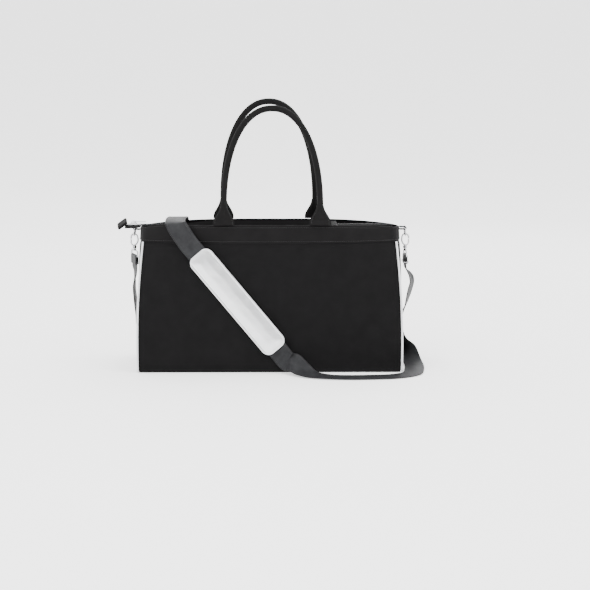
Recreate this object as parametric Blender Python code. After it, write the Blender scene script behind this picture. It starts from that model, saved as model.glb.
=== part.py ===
"""Changing bag: a large zip-top tote with a clip-on shoulder strap and a sliding shoulder pad.

Frame: the origin is the middle of the flat base on the floor. +X is the bag's right, -Y is its front,
+Z is up. Everything is in metres. Each object is one physical piece.
"""

from math import cos, pi, radians, sin

import bmesh
import bpy
from mathutils import Matrix, Vector

# ---- driving dimensions -------------------------------------------------------------------------
HALF_WIDTH = 0.2500          # half of the bag's width at the foot of its corner seams
SIDE_TAPER = 0.0125          # how much narrower each side is at the top
HALF_DEPTH = 0.090           # half of the base's depth
HEIGHT = 0.2780              # top edge above the floor, at the middle of the front
END_DIP = 0.0075             # how far the top edge falls towards the ends
MOUTH_HALF_DEPTH = 0.075     # half depth of the mouth at its middle
CORNER_HALF_DEPTH = 0.032    # half depth of the gusset at the top, where front and rear come together
SIDE_BULGE = 0.0055          # how far the corner seams bow outwards half-way up
GUSSET_BULGE = 0.0110        # how far the gusset's middle stands out at the top
WALL = 0.0030                # thickness of the padded outer fabric
BAND_HEIGHT = 0.034          # height of the facing that runs round the mouth
PIPING_RADIUS = 0.0020
SEAM_GAP = 0.0004            # clearance between pieces that are sewn together
BASE_THICKNESS = 0.0030
BOARD_THICKNESS = 0.0020
LINING_THICKNESS = 0.0008

HANDLE_X = 0.0905            # handle tabs, either side of the handle's middle
FRONT_HANDLE_SHIFT = 0.0045  # the front handle stands a little to the right
REAR_HANDLE_SHIFT = -0.0020
HANDLE_RADIUS = 0.0060
HANDLE_RISE = 0.236          # from the fold line to the top of the loop
TAB_HEIGHT = 0.038
TAB_WIDTH = 0.040
FRONT_LEAN = radians(20)     # how far each handle leans in over the mouth
REAR_LEAN = radians(4)
HANDLE_HINGE_OUT = 0.0004   # hinge line of a handle, outside the mouth edge
HANDLE_SQUARENESS = 2.15     # exponent of the loop's superellipse

ZIP_Z = 0.2740               # plane of the closed zip
ZIP_HINGE_Y = 0.0640         # fold line of each zip panel
ZIP_OPEN = radians(68)       # how far the zip panels hang down when the zip is open
FLAP_THICKNESS = 0.0012
TOOTH_WIDTH = 0.0018
TOOTH_HEIGHT = 0.0024
TAIL_END_X = -0.2745         # where the tape enters its end tab
SLIDER_X = -0.2625           # slider at rest, out on the tape's tail
FIXED_TOP_X = -0.1955        # inner end of the fixed tape on the tail's side
FLAP_LEFT_X = -0.1900
FLAP_RIGHT_X = 0.1300
FIXED_END_X = 0.1320         # inner end of the fixed tape at the closed end

STRAP_WIDTH = 0.038
STRAP_THICKNESS = 0.0018
PAD_WIDTH = 0.050
PAD_LENGTH = 0.235
PAD_THICKNESS = 0.0088

RING_X = 0.2600              # D-ring bar
RING_Z = 0.2665
RING_WIRE = 0.0013
HOOK_WIRE = 0.0016
HOOK_TOP_Z = 0.2550          # centre of the hook's wire where it hangs on the D-ring
HOOK_HALF_WIDTH = 0.0064
HOOK_LENGTH = 0.0270
STRAP_END_LENGTH = 0.0150     # doubled webbing below each swivel loop
LEFT_SWIVEL_YAW = radians(20)


# ---- scene and materials ------------------------------------------------------------------------
for leftover in list(bpy.data.objects):
    bpy.data.objects.remove(leftover)


def make_material(name, color, roughness, metallic=0.0):
    """A Principled material with one colour."""
    material = bpy.data.materials.new(name)
    material.use_nodes = True
    shader = material.node_tree.nodes["Principled BSDF"]
    shader.inputs["Base Color"].default_value = (*color, 1.0)
    shader.inputs["Roughness"].default_value = roughness
    shader.inputs["Metallic"].default_value = metallic
    return material


BLACK_FABRIC = ((0.022, 0.021, 0.022), 0.75)
LINING_FABRIC = ((0.030, 0.030, 0.032), 0.60)
STRAP_FABRIC = ((0.018, 0.018, 0.019), 0.35)
SILVER_TRIM = ((0.78, 0.79, 0.80), 0.35)
SILVER_PAD = ((0.72, 0.73, 0.74), 0.30, 0.5)
NICKEL = ((0.62, 0.62, 0.62), 0.22, 1.0)
BOARD = ((0.05, 0.05, 0.05), 0.85)


def finish(name, bm, look, origin=(0, 0, 0), smooth_angle=35):
    """Turns a bmesh, whose points are in world metres, into an object with its origin at a chosen point."""
    bmesh.ops.remove_doubles(bm, verts=bm.verts, dist=1e-7)
    bmesh.ops.recalc_face_normals(bm, faces=bm.faces)
    bmesh.ops.translate(bm, verts=bm.verts, vec=-Vector(origin))
    mesh = bpy.data.meshes.new(name)
    bm.to_mesh(mesh)
    bm.free()
    mesh.shade_smooth()
    mesh.set_sharp_from_angle(angle=radians(smooth_angle))
    mesh.materials.append(make_material(name, *look))
    made = bpy.data.objects.new(name, mesh)
    made.location = origin
    bpy.context.scene.collection.objects.link(made)
    return made


# ---- shape helpers ------------------------------------------------------------------------------
def add_rings(bm, rings, closed_rings=True, closed_path=False):
    """Skins a row of equally long rings of points, and caps both ends unless the path is closed."""
    rows = [[bm.verts.new(point) for point in ring] for ring in rings]
    count = len(rows[0])
    last_row = len(rows) if closed_path else len(rows) - 1
    last_side = count if closed_rings else count - 1
    for i in range(last_row):
        near, far = rows[i], rows[(i + 1) % len(rows)]
        for k in range(last_side):
            nxt = (k + 1) % count
            bm.faces.new((near[k], near[nxt], far[nxt], far[k]))
    if not closed_path:
        bm.faces.new(rows[0][::-1])
        bm.faces.new(rows[-1])
    return rows


def tangents(points, closed=False):
    """Unit direction of a path at each of its points."""
    count = len(points)
    found = []
    for i in range(count):
        before = points[(i - 1) % count] if closed or i else points[0]
        after = points[(i + 1) % count] if closed or i < count - 1 else points[-1]
        found.append((after - before).normalized())
    return found


def tube(bm, points, radius, sides=10, closed=False, side_hint=(0, 1, 0)):
    """A round tube along a path. radius is one number, or a function of the share of the path covered."""
    path = [Vector(p) for p in points]
    rings = []
    for i, (point, along) in enumerate(zip(path, tangents(path, closed))):
        across = Vector(side_hint) - along * along.dot(Vector(side_hint))
        across.normalize()
        third = along.cross(across)
        r = radius(i / (len(path) - 1)) if callable(radius) else radius
        turn = [2 * pi * k / sides for k in range(sides)]
        rings.append([point + across * r * cos(a) + third * r * sin(a) for a in turn])
    add_rings(bm, rings, closed_path=closed)


def smooth_path(stations, steps):
    """Points of a Catmull-Rom curve through the stations, with steps points for each span."""
    pts = [Vector(s) for s in stations]
    made = []
    for i in range(len(pts) - 1):
        p0 = pts[max(i - 1, 0)]
        p1, p2 = pts[i], pts[i + 1]
        p3 = pts[min(i + 2, len(pts) - 1)]
        for k in range(steps):
            t = k / steps
            made.append(0.5 * (2 * p1 + (p2 - p0) * t + (2 * p0 - 5 * p1 + 4 * p2 - p3) * t * t
                               + (3 * p1 - p0 - 3 * p2 + p3) * t ** 3))
    made.append(pts[-1])
    return made


def block(bm, low, high):
    """A box between two corners."""
    (x0, y0, z0), (x1, y1, z1) = low, high
    rings = [[(x0, y0, z), (x1, y0, z), (x1, y1, z), (x0, y1, z)] for z in (z0, z1)]
    add_rings(bm, rings)


def rounded_outline(half_x, half_y, corner, steps=4):
    """Points of a rectangle with round corners, about the origin."""
    found = []
    for quarter, (sx, sy) in enumerate(((1, 1), (-1, 1), (-1, -1), (1, -1))):
        for k in range(steps + 1):
            a = pi / 2 * (quarter + k / steps)
            centre_x, centre_y = sx * (half_x - corner), sy * (half_y - corner)
            found.append((centre_x + corner * cos(a), centre_y + corner * sin(a)))
    return found


def rounded_plate(bm, half_x, half_y, corner, z0, z1, steps=4):
    """A flat plate with round corners."""
    outline = rounded_outline(half_x, half_y, corner, steps)
    add_rings(bm, [[(x, y, z) for x, y in outline] for z in (z0, z1)])


def turn_about_x(bm, angle, pivot):
    """Turns a whole bmesh about a line along X through pivot."""
    turned = Matrix.Rotation(angle, 4, "X")
    about = Matrix.Translation(pivot) @ turned @ Matrix.Translation(-pivot)
    bmesh.ops.transform(bm, verts=bm.verts, matrix=about)


# ---- the bag's outer form -----------------------------------------------------------------------
def half_width(z):
    share = z / HEIGHT
    return HALF_WIDTH - SIDE_TAPER * share + SIDE_BULGE * sin(pi * share)


def corner_half_depth(z):
    return HALF_DEPTH - (HALF_DEPTH - CORNER_HALF_DEPTH) * (z / HEIGHT) ** 1.3


def front_depth(u, z):
    """Distance of the front or rear wall from the middle plane, at u from -1 to 1 across the bag."""
    middle = HALF_DEPTH - (HALF_DEPTH - MOUTH_HALF_DEPTH) * z / HEIGHT
    edge = corner_half_depth(z)
    return edge + (middle - edge) * (1 - abs(u) ** 3)


def gusset_reach(v, z):
    """Distance of a gusset from the bag's middle, at v from -1 to 1 between its two corner seams."""
    return half_width(z) + (0.0005 + GUSSET_BULGE * (z / HEIGHT) ** 1.5) * (1 - v * v)


def top_edge(x):
    """Height of the mouth's edge at a place across the bag."""
    return HEIGHT - END_DIP * min(1.0, abs(x) / HALF_WIDTH) ** 4


def front_point(u, z, side):
    return Vector((u * half_width(z), side * front_depth(u, z), z))


def gusset_point(v, z, side):
    return Vector((side * gusset_reach(v, z), v * corner_half_depth(z), z))


def wall_solid(bm, columns, thickness, inset=0.0):
    """A wall of the bag. columns is a row of columns of outer points; the wall is thickened inwards."""
    outer, inner = [], []
    for i, column in enumerate(columns):
        before = columns[max(i - 1, 0)]
        after = columns[min(i + 1, len(columns) - 1)]
        out_column, in_column = [], []
        for k, point in enumerate(column):
            along = after[k] - before[k]
            inward = Vector((-along.y, along.x, 0)).normalized()
            if inward.dot(Vector((point.x * 0.12, point.y, 0))) > 0:
                inward = -inward
            out_column.append(point + inward * inset)
            in_column.append(point + inward * (inset + thickness))
        outer.append(out_column)
        inner.append(in_column)
    rings = [out + inn[::-1] for out, inn in zip(outer, inner)]
    add_rings(bm, rings)


def spread(low, high, count):
    return [low + (high - low) * i / (count - 1) for i in range(count)]


def make_front_or_rear(name, side):
    """The large front or rear panel, from the floor to the seam under the band."""
    bm = bmesh.new()
    columns = []
    for u in spread(-1, 1, 21):
        column = []
        for z in spread(0.0006, HEIGHT - BAND_HEIGHT - 0.0006, 7):
            u_here = u * (1 - (PIPING_RADIUS + SEAM_GAP) / half_width(z))
            column.append(front_point(u_here, z, side))
        columns.append(column)
    wall_solid(bm, columns, WALL)
    finish(name, bm, BLACK_FABRIC)


def make_gusset(name, side):
    """A side panel between the front and rear corner seams."""
    bm = bmesh.new()
    columns = []
    for v in spread(-1, 1, 9):
        column = []
        for z in spread(0.0006, HEIGHT - BAND_HEIGHT - 0.0006, 7):
            v_here = v * (1 - (WALL + SEAM_GAP) / corner_half_depth(z))
            column.append(gusset_point(v_here, z, side))
        columns.append(column)
    wall_solid(bm, columns, WALL)
    finish(name, bm, BLACK_FABRIC)


def mouth_line(side, steps_front=25, steps_side=5, trim=SEAM_GAP, reach=(0.985, 0.86)):
    """Plan of half of the mouth: from one gusset's middle round the front or rear to the other's.

    reach is how near its corners come to the ends of the panel and of the gusset, as shares.
    """
    panel_end, gusset_end = reach

    def at(z):
        edge = corner_half_depth(z)
        right = [gusset_point(side * s, z, 1) for s in spread(trim / edge, gusset_end, steps_side)]
        across = [front_point(u, z, side) for u in spread(panel_end, -panel_end, steps_front)]
        left = [gusset_point(side * s, z, -1) for s in spread(gusset_end, trim / edge, steps_side)]
        return right + across + left
    return at


def make_band(name, side):
    """The facing along the mouth, on the front or the rear half."""
    line = mouth_line(side)
    low_z = HEIGHT - BAND_HEIGHT
    low = line(low_z)
    columns = []
    for i in range(len(low)):
        x = low[i].x
        levels = spread(low_z, top_edge(x), 4)
        columns.append([line(z)[i] for z in levels])
    bm = bmesh.new()
    wall_solid(bm, columns, WALL)
    finish(name, bm, BLACK_FABRIC)


def make_piping(name, side_x, side_y):
    """The reflective cord in a corner seam."""
    bm = bmesh.new()
    points = []
    for z in spread(0.0012, HEIGHT - BAND_HEIGHT - 0.0006, 12):
        points.append(Vector((side_x * half_width(z), side_y * corner_half_depth(z), z)))
    inward = Vector((-side_x, -side_y, 0)).normalized() * PIPING_RADIUS * 0.2
    tube(bm, [p + inward for p in points], PIPING_RADIUS * 0.95, sides=8, side_hint=(1, 0, 0))
    finish(name, bm, SILVER_TRIM)


def make_base():
    bm = bmesh.new()
    rounded_plate(bm, HALF_WIDTH - WALL - 0.0012, HALF_DEPTH - WALL - 0.0012, 0.006, 0.0, BASE_THICKNESS)
    finish("base_panel", bm, BLACK_FABRIC)
    bm = bmesh.new()
    low = BASE_THICKNESS + 0.0003
    rounded_plate(bm, HALF_WIDTH - 0.011, HALF_DEPTH - 0.011, 0.015, low, low + BOARD_THICKNESS)
    finish("base_board", bm, BOARD)


def make_lining():
    """The lining is one open tub inside the walls, over the base board."""
    low = BASE_THICKNESS + BOARD_THICKNESS + 0.0009
    high = ZIP_Z - 0.0100
    levels = [low, 0.02, 0.07, 0.12, 0.17, 0.22, high]

    def loop(z, inset):
        """Plan of the inside at a height, going once round."""
        found = []
        for side in (-1, 1):
            line = mouth_line(side, 15, 4, 0.0045, (0.955, 0.70))(z)
            if side > 0:
                line = line[::-1]
            found += line
        count = len(found)
        shrunk = []
        for i, point in enumerate(found):
            along = found[(i + 1) % count] - found[i - 1]
            inward = Vector((-along.y, along.x, 0)).normalized()
            if inward.dot(Vector((point.x * 0.12, point.y, 0))) > 0:
                inward = -inward
            shrunk.append(point + inward * inset)
        return shrunk

    clear = WALL + 0.0022
    outer = [loop(z, clear) for z in levels]
    inner = [loop(z, clear + LINING_THICKNESS) for z in levels]
    for point in inner[0]:
        point.z += LINING_THICKNESS
    bm = bmesh.new()
    add_rings(bm, outer + inner[::-1])
    bmesh.ops.triangulate(bm, faces=bm.faces)
    finish("lining", bm, LINING_FABRIC)


# ---- zip ----------------------------------------------------------------------------------------
def flap_outline(side):
    """Outline of a zip panel in the closed plane. side is -1 for the front and 1 for the rear."""
    hinge = side * ZIP_HINGE_Y
    free = side * (TOOTH_WIDTH + 0.0008)
    return [(-0.106, hinge), (0.106, hinge), (FLAP_RIGHT_X, side * 0.050), (FLAP_RIGHT_X, free),
            (FLAP_LEFT_X, free), (FLAP_LEFT_X, side * 0.030)]


def make_flap(name, teeth_name, side):
    """A zip panel that hangs from its fold line, with its half of the zip chain on the free edge."""
    pivot = Vector((0, side * ZIP_HINGE_Y, ZIP_Z))
    angle = side * ZIP_OPEN
    bm = bmesh.new()
    half = FLAP_THICKNESS / 2
    add_rings(bm, [[(x, y, ZIP_Z + dz) for x, y in flap_outline(side)] for dz in (-half, half)])
    turn_about_x(bm, angle, pivot)
    finish(name, bm, BLACK_FABRIC, pivot)
    bm = bmesh.new()
    inner, outer = sorted((side * 0.0003, side * (0.0003 + TOOTH_WIDTH)))
    block(bm, (FLAP_LEFT_X, inner, ZIP_Z - TOOTH_HEIGHT / 2), (FLAP_RIGHT_X, outer, ZIP_Z + TOOTH_HEIGHT / 2))
    turn_about_x(bm, angle, pivot)
    finish(teeth_name, bm, NICKEL, pivot)


def end_panel(name, side_x, inner_x, reach):
    """The fixed end of the zip closure, which fills the mouth's narrow end below the tape."""
    bm = bmesh.new()
    z = ZIP_Z - 0.0056
    outline = []
    for x in spread(inner_x, reach, 5):
        depth = front_depth(x / half_width(z), z) - WALL - 0.0012
        outline.append((side_x * x, -depth))
    outline += [(x, -y) for x, y in reversed(outline)]
    add_rings(bm, [[(x, y, z + dz) for x, y in outline] for dz in (-0.0006, 0.0006)])
    finish(name, bm, BLACK_FABRIC)


def make_zip():
    make_flap("front_zip_panel", "front_zip_teeth", -1)
    make_flap("rear_zip_panel", "rear_zip_teeth", 1)
    end_panel("left_zip_end_panel", -1, -FIXED_TOP_X, HALF_WIDTH - 0.021)
    end_panel("right_zip_end_panel", 1, FIXED_END_X, HALF_WIDTH - 0.021)
    bm = bmesh.new()
    block(bm, (TAIL_END_X, -0.0125, ZIP_Z - 0.0022), (FIXED_TOP_X, 0.0125, ZIP_Z - 0.0014))
    finish("zip_tail_tape", bm, BLACK_FABRIC)
    bm = bmesh.new()
    block(bm, (FIXED_END_X, -0.0125, ZIP_Z - 0.0022), (HALF_WIDTH - 0.014, 0.0125, ZIP_Z - 0.0014))
    finish("zip_end_tape", bm, BLACK_FABRIC)
    for name, low_x, high_x in (("zip_tail_chain", TAIL_END_X, FIXED_TOP_X),
                                ("zip_end_chain", FIXED_END_X, HALF_WIDTH - 0.016)):
        bm = bmesh.new()
        block(bm, (low_x, -TOOTH_WIDTH, ZIP_Z - 0.0011), (high_x, TOOTH_WIDTH, ZIP_Z + 0.0011))
        finish(name, bm, NICKEL)
    bm = bmesh.new()
    tab = rounded_outline(0.0105, 0.0155, 0.003, 3)
    add_rings(bm, [[(x, y, z) for x, y in tab] for z in (-0.0026, 0.0026)])
    droop = Matrix.Rotation(radians(-36), 4, "Y") @ Matrix.Rotation(radians(15), 4, "X")
    place = Matrix.Translation((TAIL_END_X - 0.0098, 0, ZIP_Z + 0.0005))
    bmesh.ops.transform(bm, verts=bm.verts, matrix=place @ droop)
    finish("zip_end_tab", bm, BLACK_FABRIC)
    make_slider()


def make_slider():
    """Slider: two plates joined by a post between the teeth, and a bridge for the puller."""
    bm = bmesh.new()
    x0, x1 = SLIDER_X - 0.0060, SLIDER_X + 0.0060
    section = [(-0.0050, 0.0016), (-0.0040, 0.0030), (0.0040, 0.0030), (0.0050, 0.0016)]
    rings = []
    for x, squeeze in ((x0, 0.72), (x0 + 0.003, 0.95), (x1 - 0.003, 1.0), (x1, 0.85)):
        rings.append([(x, y * squeeze, ZIP_Z + z) for y, z in section])
    add_rings(bm, rings)
    finish("zip_slider", bm, NICKEL, (SLIDER_X, 0, ZIP_Z))
    bm = bmesh.new()
    bridge_z = ZIP_Z + 0.0033
    points = [(SLIDER_X - 0.0040, 0, bridge_z + 0.0002), (SLIDER_X - 0.0032, 0, bridge_z + 0.0024),
              (SLIDER_X + 0.0005, 0, bridge_z + 0.0030), (SLIDER_X + 0.0036, 0, bridge_z + 0.0024),
              (SLIDER_X + 0.0042, 0, bridge_z + 0.0002)]
    tube(bm, points, 0.0005, sides=8)
    finish("zip_slider_bridge", bm, NICKEL, (SLIDER_X, 0, ZIP_Z))


def make_puller():
    """A flat puller with an eye that turns on the slider's bridge."""
    bm = bmesh.new()
    eye_x, eye_z = SLIDER_X + 0.0004, ZIP_Z + 0.0046
    rail = [(-0.0010, -0.0022), (0.0230, -0.0034), (0.0230, 0.0034), (-0.0010, 0.0022)]
    hole = [(-0.0002 + 0.0004, -0.0010), (0.0050, -0.0013), (0.0050, 0.0013), (0.0002, 0.0010)]
    low, high = eye_z - 0.0007, eye_z + 0.0007
    rings = [[(eye_x + x, y, low) for x, y in rail], [(eye_x + x, y, high) for x, y in rail],
             [(eye_x + x, y, high) for x, y in hole], [(eye_x + x, y, low) for x, y in hole]]
    add_rings(bm, rings, closed_path=True)
    finish("zip_puller", bm, NICKEL, (eye_x, 0, eye_z))


# ---- handles ------------------------------------------------------------------------------------
def handle_path(shift):
    """The loop from one tab to the other, standing straight up from the fold line at height 0."""
    spring = TAB_HEIGHT + 0.0010
    rise = HANDLE_RISE - HANDLE_RADIUS - spring
    points = []
    for a in spread(0, pi, 29):
        c, s = cos(a), sin(a)
        x = HANDLE_X * abs(c) ** (2 / HANDLE_SQUARENESS) * (1 if c > 0 else -1)
        points.append(Vector((shift + x, 0, spring + rise * s ** (2 / HANDLE_SQUARENESS))))
    return points


def make_handle(prefix, side, lean, shift):
    pivot = Vector((0, side * (MOUTH_HALF_DEPTH + HANDLE_HINGE_OUT), HEIGHT + 0.0004))
    turn = side * lean
    bm = bmesh.new()
    tube(bm, [pivot + p for p in handle_path(shift)], HANDLE_RADIUS, sides=12)
    turn_about_x(bm, turn, pivot)
    finish(prefix + "_handle", bm, BLACK_FABRIC, pivot)
    profile = [(0.0, TAB_WIDTH / 2, 0.0006), (0.0025, TAB_WIDTH / 2, 0.0016),
               (0.008, TAB_WIDTH / 2 * 0.98, 0.0019), (0.016, TAB_WIDTH / 2 * 0.87, 0.0027),
               (0.024, TAB_WIDTH / 2 * 0.65, 0.0040), (0.031, 0.0088, 0.0056),
               (TAB_HEIGHT, 0.0066, 0.0064)]
    for end, x in (("left", shift - HANDLE_X), ("right", shift + HANDLE_X)):
        bm = bmesh.new()
        rings = []
        for z, half_x, half_y in profile:
            turns = [2 * pi * k / 16 for k in range(16)]
            ring = [Vector((x + half_x * cos(a), half_y * sin(a), z)) + pivot for a in turns]
            rings.append(ring)
        add_rings(bm, rings)
        turn_about_x(bm, turn, pivot)
        lowest = top_edge(x) + 0.0003
        for vert in bm.verts:
            vert.co.z = max(vert.co.z, lowest)
        finish(prefix + "_handle_tab_" + end, bm, BLACK_FABRIC, pivot)


# ---- D-rings and snap hooks ---------------------------------------------------------------------
def make_ring_tab(name, side):
    """Folded webbing, sewn into the band's end, that holds the D-ring's bar."""
    bm = bmesh.new()
    inner, outer = 0.0017, 0.0034
    root_x = gusset_reach(0, RING_Z) + 0.0004
    ring_in, ring_out = [], []
    for a in spread(radians(115), radians(-115), 9):
        ring_in.append((RING_X + inner * cos(a), RING_Z + inner * sin(a)))
        ring_out.append((RING_X + outer * cos(a), RING_Z + outer * sin(a)))
    section = ([(root_x, RING_Z + 0.0032)] + ring_out + [(root_x, RING_Z - 0.0032)]
               + [(root_x, RING_Z - 0.0015)] + ring_in[::-1] + [(root_x, RING_Z + 0.0015)])
    rings = [[(side * x, y, z) for x, z in section] for y in (-0.0095, 0.0095)]
    add_rings(bm, rings)
    finish(name, bm, BLACK_FABRIC)


def make_ring(name, side):
    """D-ring: a straight bar in the tab and a round bow below it."""
    bm = bmesh.new()
    half_bar, drop = 0.0118, 0.0152
    points = [(0, y, 0) for y in spread(-half_bar + 0.002, half_bar - 0.002, 4)]
    for a in spread(0, pi, 13):
        points.append((0, (half_bar + 0.0006) * cos(a), -0.0016 - (drop - 0.0016) * sin(a) ** 0.9))
    tilt = Matrix.Rotation(radians(-side * 6), 3, "Y")
    origin = Vector((side * RING_X, 0, RING_Z))
    path = [tilt @ Vector(p) + origin for p in points]
    tube(bm, path, RING_WIRE, sides=8, closed=True, side_hint=(1, 0, 0))
    finish(name, bm, NICKEL, origin)


def hook_centre(side):
    """Middle of the snap hook's loop in plan."""
    drop = 0.0152
    return side * RING_X + (-side) * -drop * sin(radians(6))


def make_hook(name, side):
    """Snap hook: a bow open on its outer side, on a boss that turns on the swivel post."""
    x0 = hook_centre(side)
    bm = bmesh.new()
    w, length = HOOK_HALF_WIDTH, HOOK_LENGTH
    outline = [(0.0040, -length + 0.0075), (0.0012, -length + 0.0045), (-0.0036, -length + 0.0075),
               (-w, -length + 0.0130), (-w, -0.0075), (-0.0045, -0.0022), (0.0, 0.0), (0.0045, -0.0022),
               (w, -0.0070), (w, -0.0095)]
    points = smooth_path([(x0 + side * x, 0, HOOK_TOP_Z + z) for x, z in outline[1:]], 3)
    tube(bm, points, HOOK_WIRE, sides=8)
    boss_low, boss_high = HOOK_TOP_Z - length - 0.0010, HOOK_TOP_Z - length + 0.0046
    rings = []
    boss = ((boss_low, 0.0034), (boss_low + 0.001, 0.0040), (boss_high - 0.0012, 0.0040), (boss_high, 0.0030))
    for z, r in boss:
        rings.append([(x0 + r * cos(2 * pi * k / 12), r * sin(2 * pi * k / 12), z) for k in range(12)])
    boss = bmesh.new()
    add_rings(boss, rings)
    return join_shapes(name, [bm, boss], NICKEL, (x0, 0, boss_low))


def join_shapes(name, shapes, look, origin):
    """One closed solid from shapes that run into each other."""
    parts = []
    for k, bm in enumerate(shapes):
        parts.append(finish(f"{name}_shape{k}", bm, look, origin))
    kept = parts[0]
    bpy.context.view_layer.update()
    for other in parts[1:]:
        union = kept.modifiers.new("union", "BOOLEAN")
        union.operation = "UNION"
        union.object = other
        graph = bpy.context.evaluated_depsgraph_get()
        mesh = bpy.data.meshes.new_from_object(kept.evaluated_get(graph))
        kept.modifiers.clear()
        kept.data = mesh
        bpy.data.objects.remove(other)
    kept.name = name
    kept.data.materials.clear()
    kept.data.materials.append(make_material(name, *look))
    return kept


def make_gate(name, side):
    """The sprung gate that closes the hook's open side, with its thumb stud."""
    x0 = hook_centre(side)
    pivot = Vector((x0 + side * HOOK_HALF_WIDTH * 0.93, 0, HOOK_TOP_Z - HOOK_LENGTH + 0.0080))
    top = Vector((x0 + side * HOOK_HALF_WIDTH, 0, HOOK_TOP_Z - 0.0116))
    bm = bmesh.new()
    tube(bm, [pivot + (top - pivot) * t for t in spread(0, 1, 5)], 0.0012, sides=8)
    finish(name, bm, NICKEL, pivot)


def make_swivel(name, side, yaw):
    """Swivel post and the rectangular loop that the strap's end is sewn round."""
    x0 = hook_centre(side)
    post_z = HOOK_TOP_Z - HOOK_LENGTH - 0.0013
    loop_top = post_z - 0.0034
    half, drop = 0.0212, 0.0105
    turned = Matrix.Rotation(yaw, 3, "Z")
    centre = Vector((x0, 0, 0))
    corner = 0.0028
    outline = []
    for cy, cz, start in ((half, loop_top - corner, 0), (-half, loop_top - corner, 90),
                          (-half, loop_top - drop + corner, 180), (half, loop_top - drop + corner, 270)):
        for k in range(4):
            a = radians(start + 30 * k)
            outline.append(Vector((0, cy + corner * cos(a), cz + corner * sin(a))))
    loop = bmesh.new()
    path = [turned @ p + centre for p in outline]
    tube(loop, path, 0.0014, sides=8, closed=True, side_hint=turned @ Vector((1, 0, 0)))
    post = bmesh.new()
    rings = []
    for z, r in ((loop_top - 0.0008, 0.0034), (loop_top + 0.0016, 0.0034), (post_z, 0.0026)):
        rings.append([(x0 + r * cos(2 * pi * k / 12), r * sin(2 * pi * k / 12), z) for k in range(12)])
    add_rings(post, rings)
    join_shapes(name, [loop, post], NICKEL, (x0, 0, post_z))
    return loop_top - drop


# ---- strap --------------------------------------------------------------------------------------
PAD_TOP = Vector((-0.1362, -0.0800, 0.2253))
PAD_RUN = Vector((0.1297, -0.0150, -0.1542)).normalized()


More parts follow.
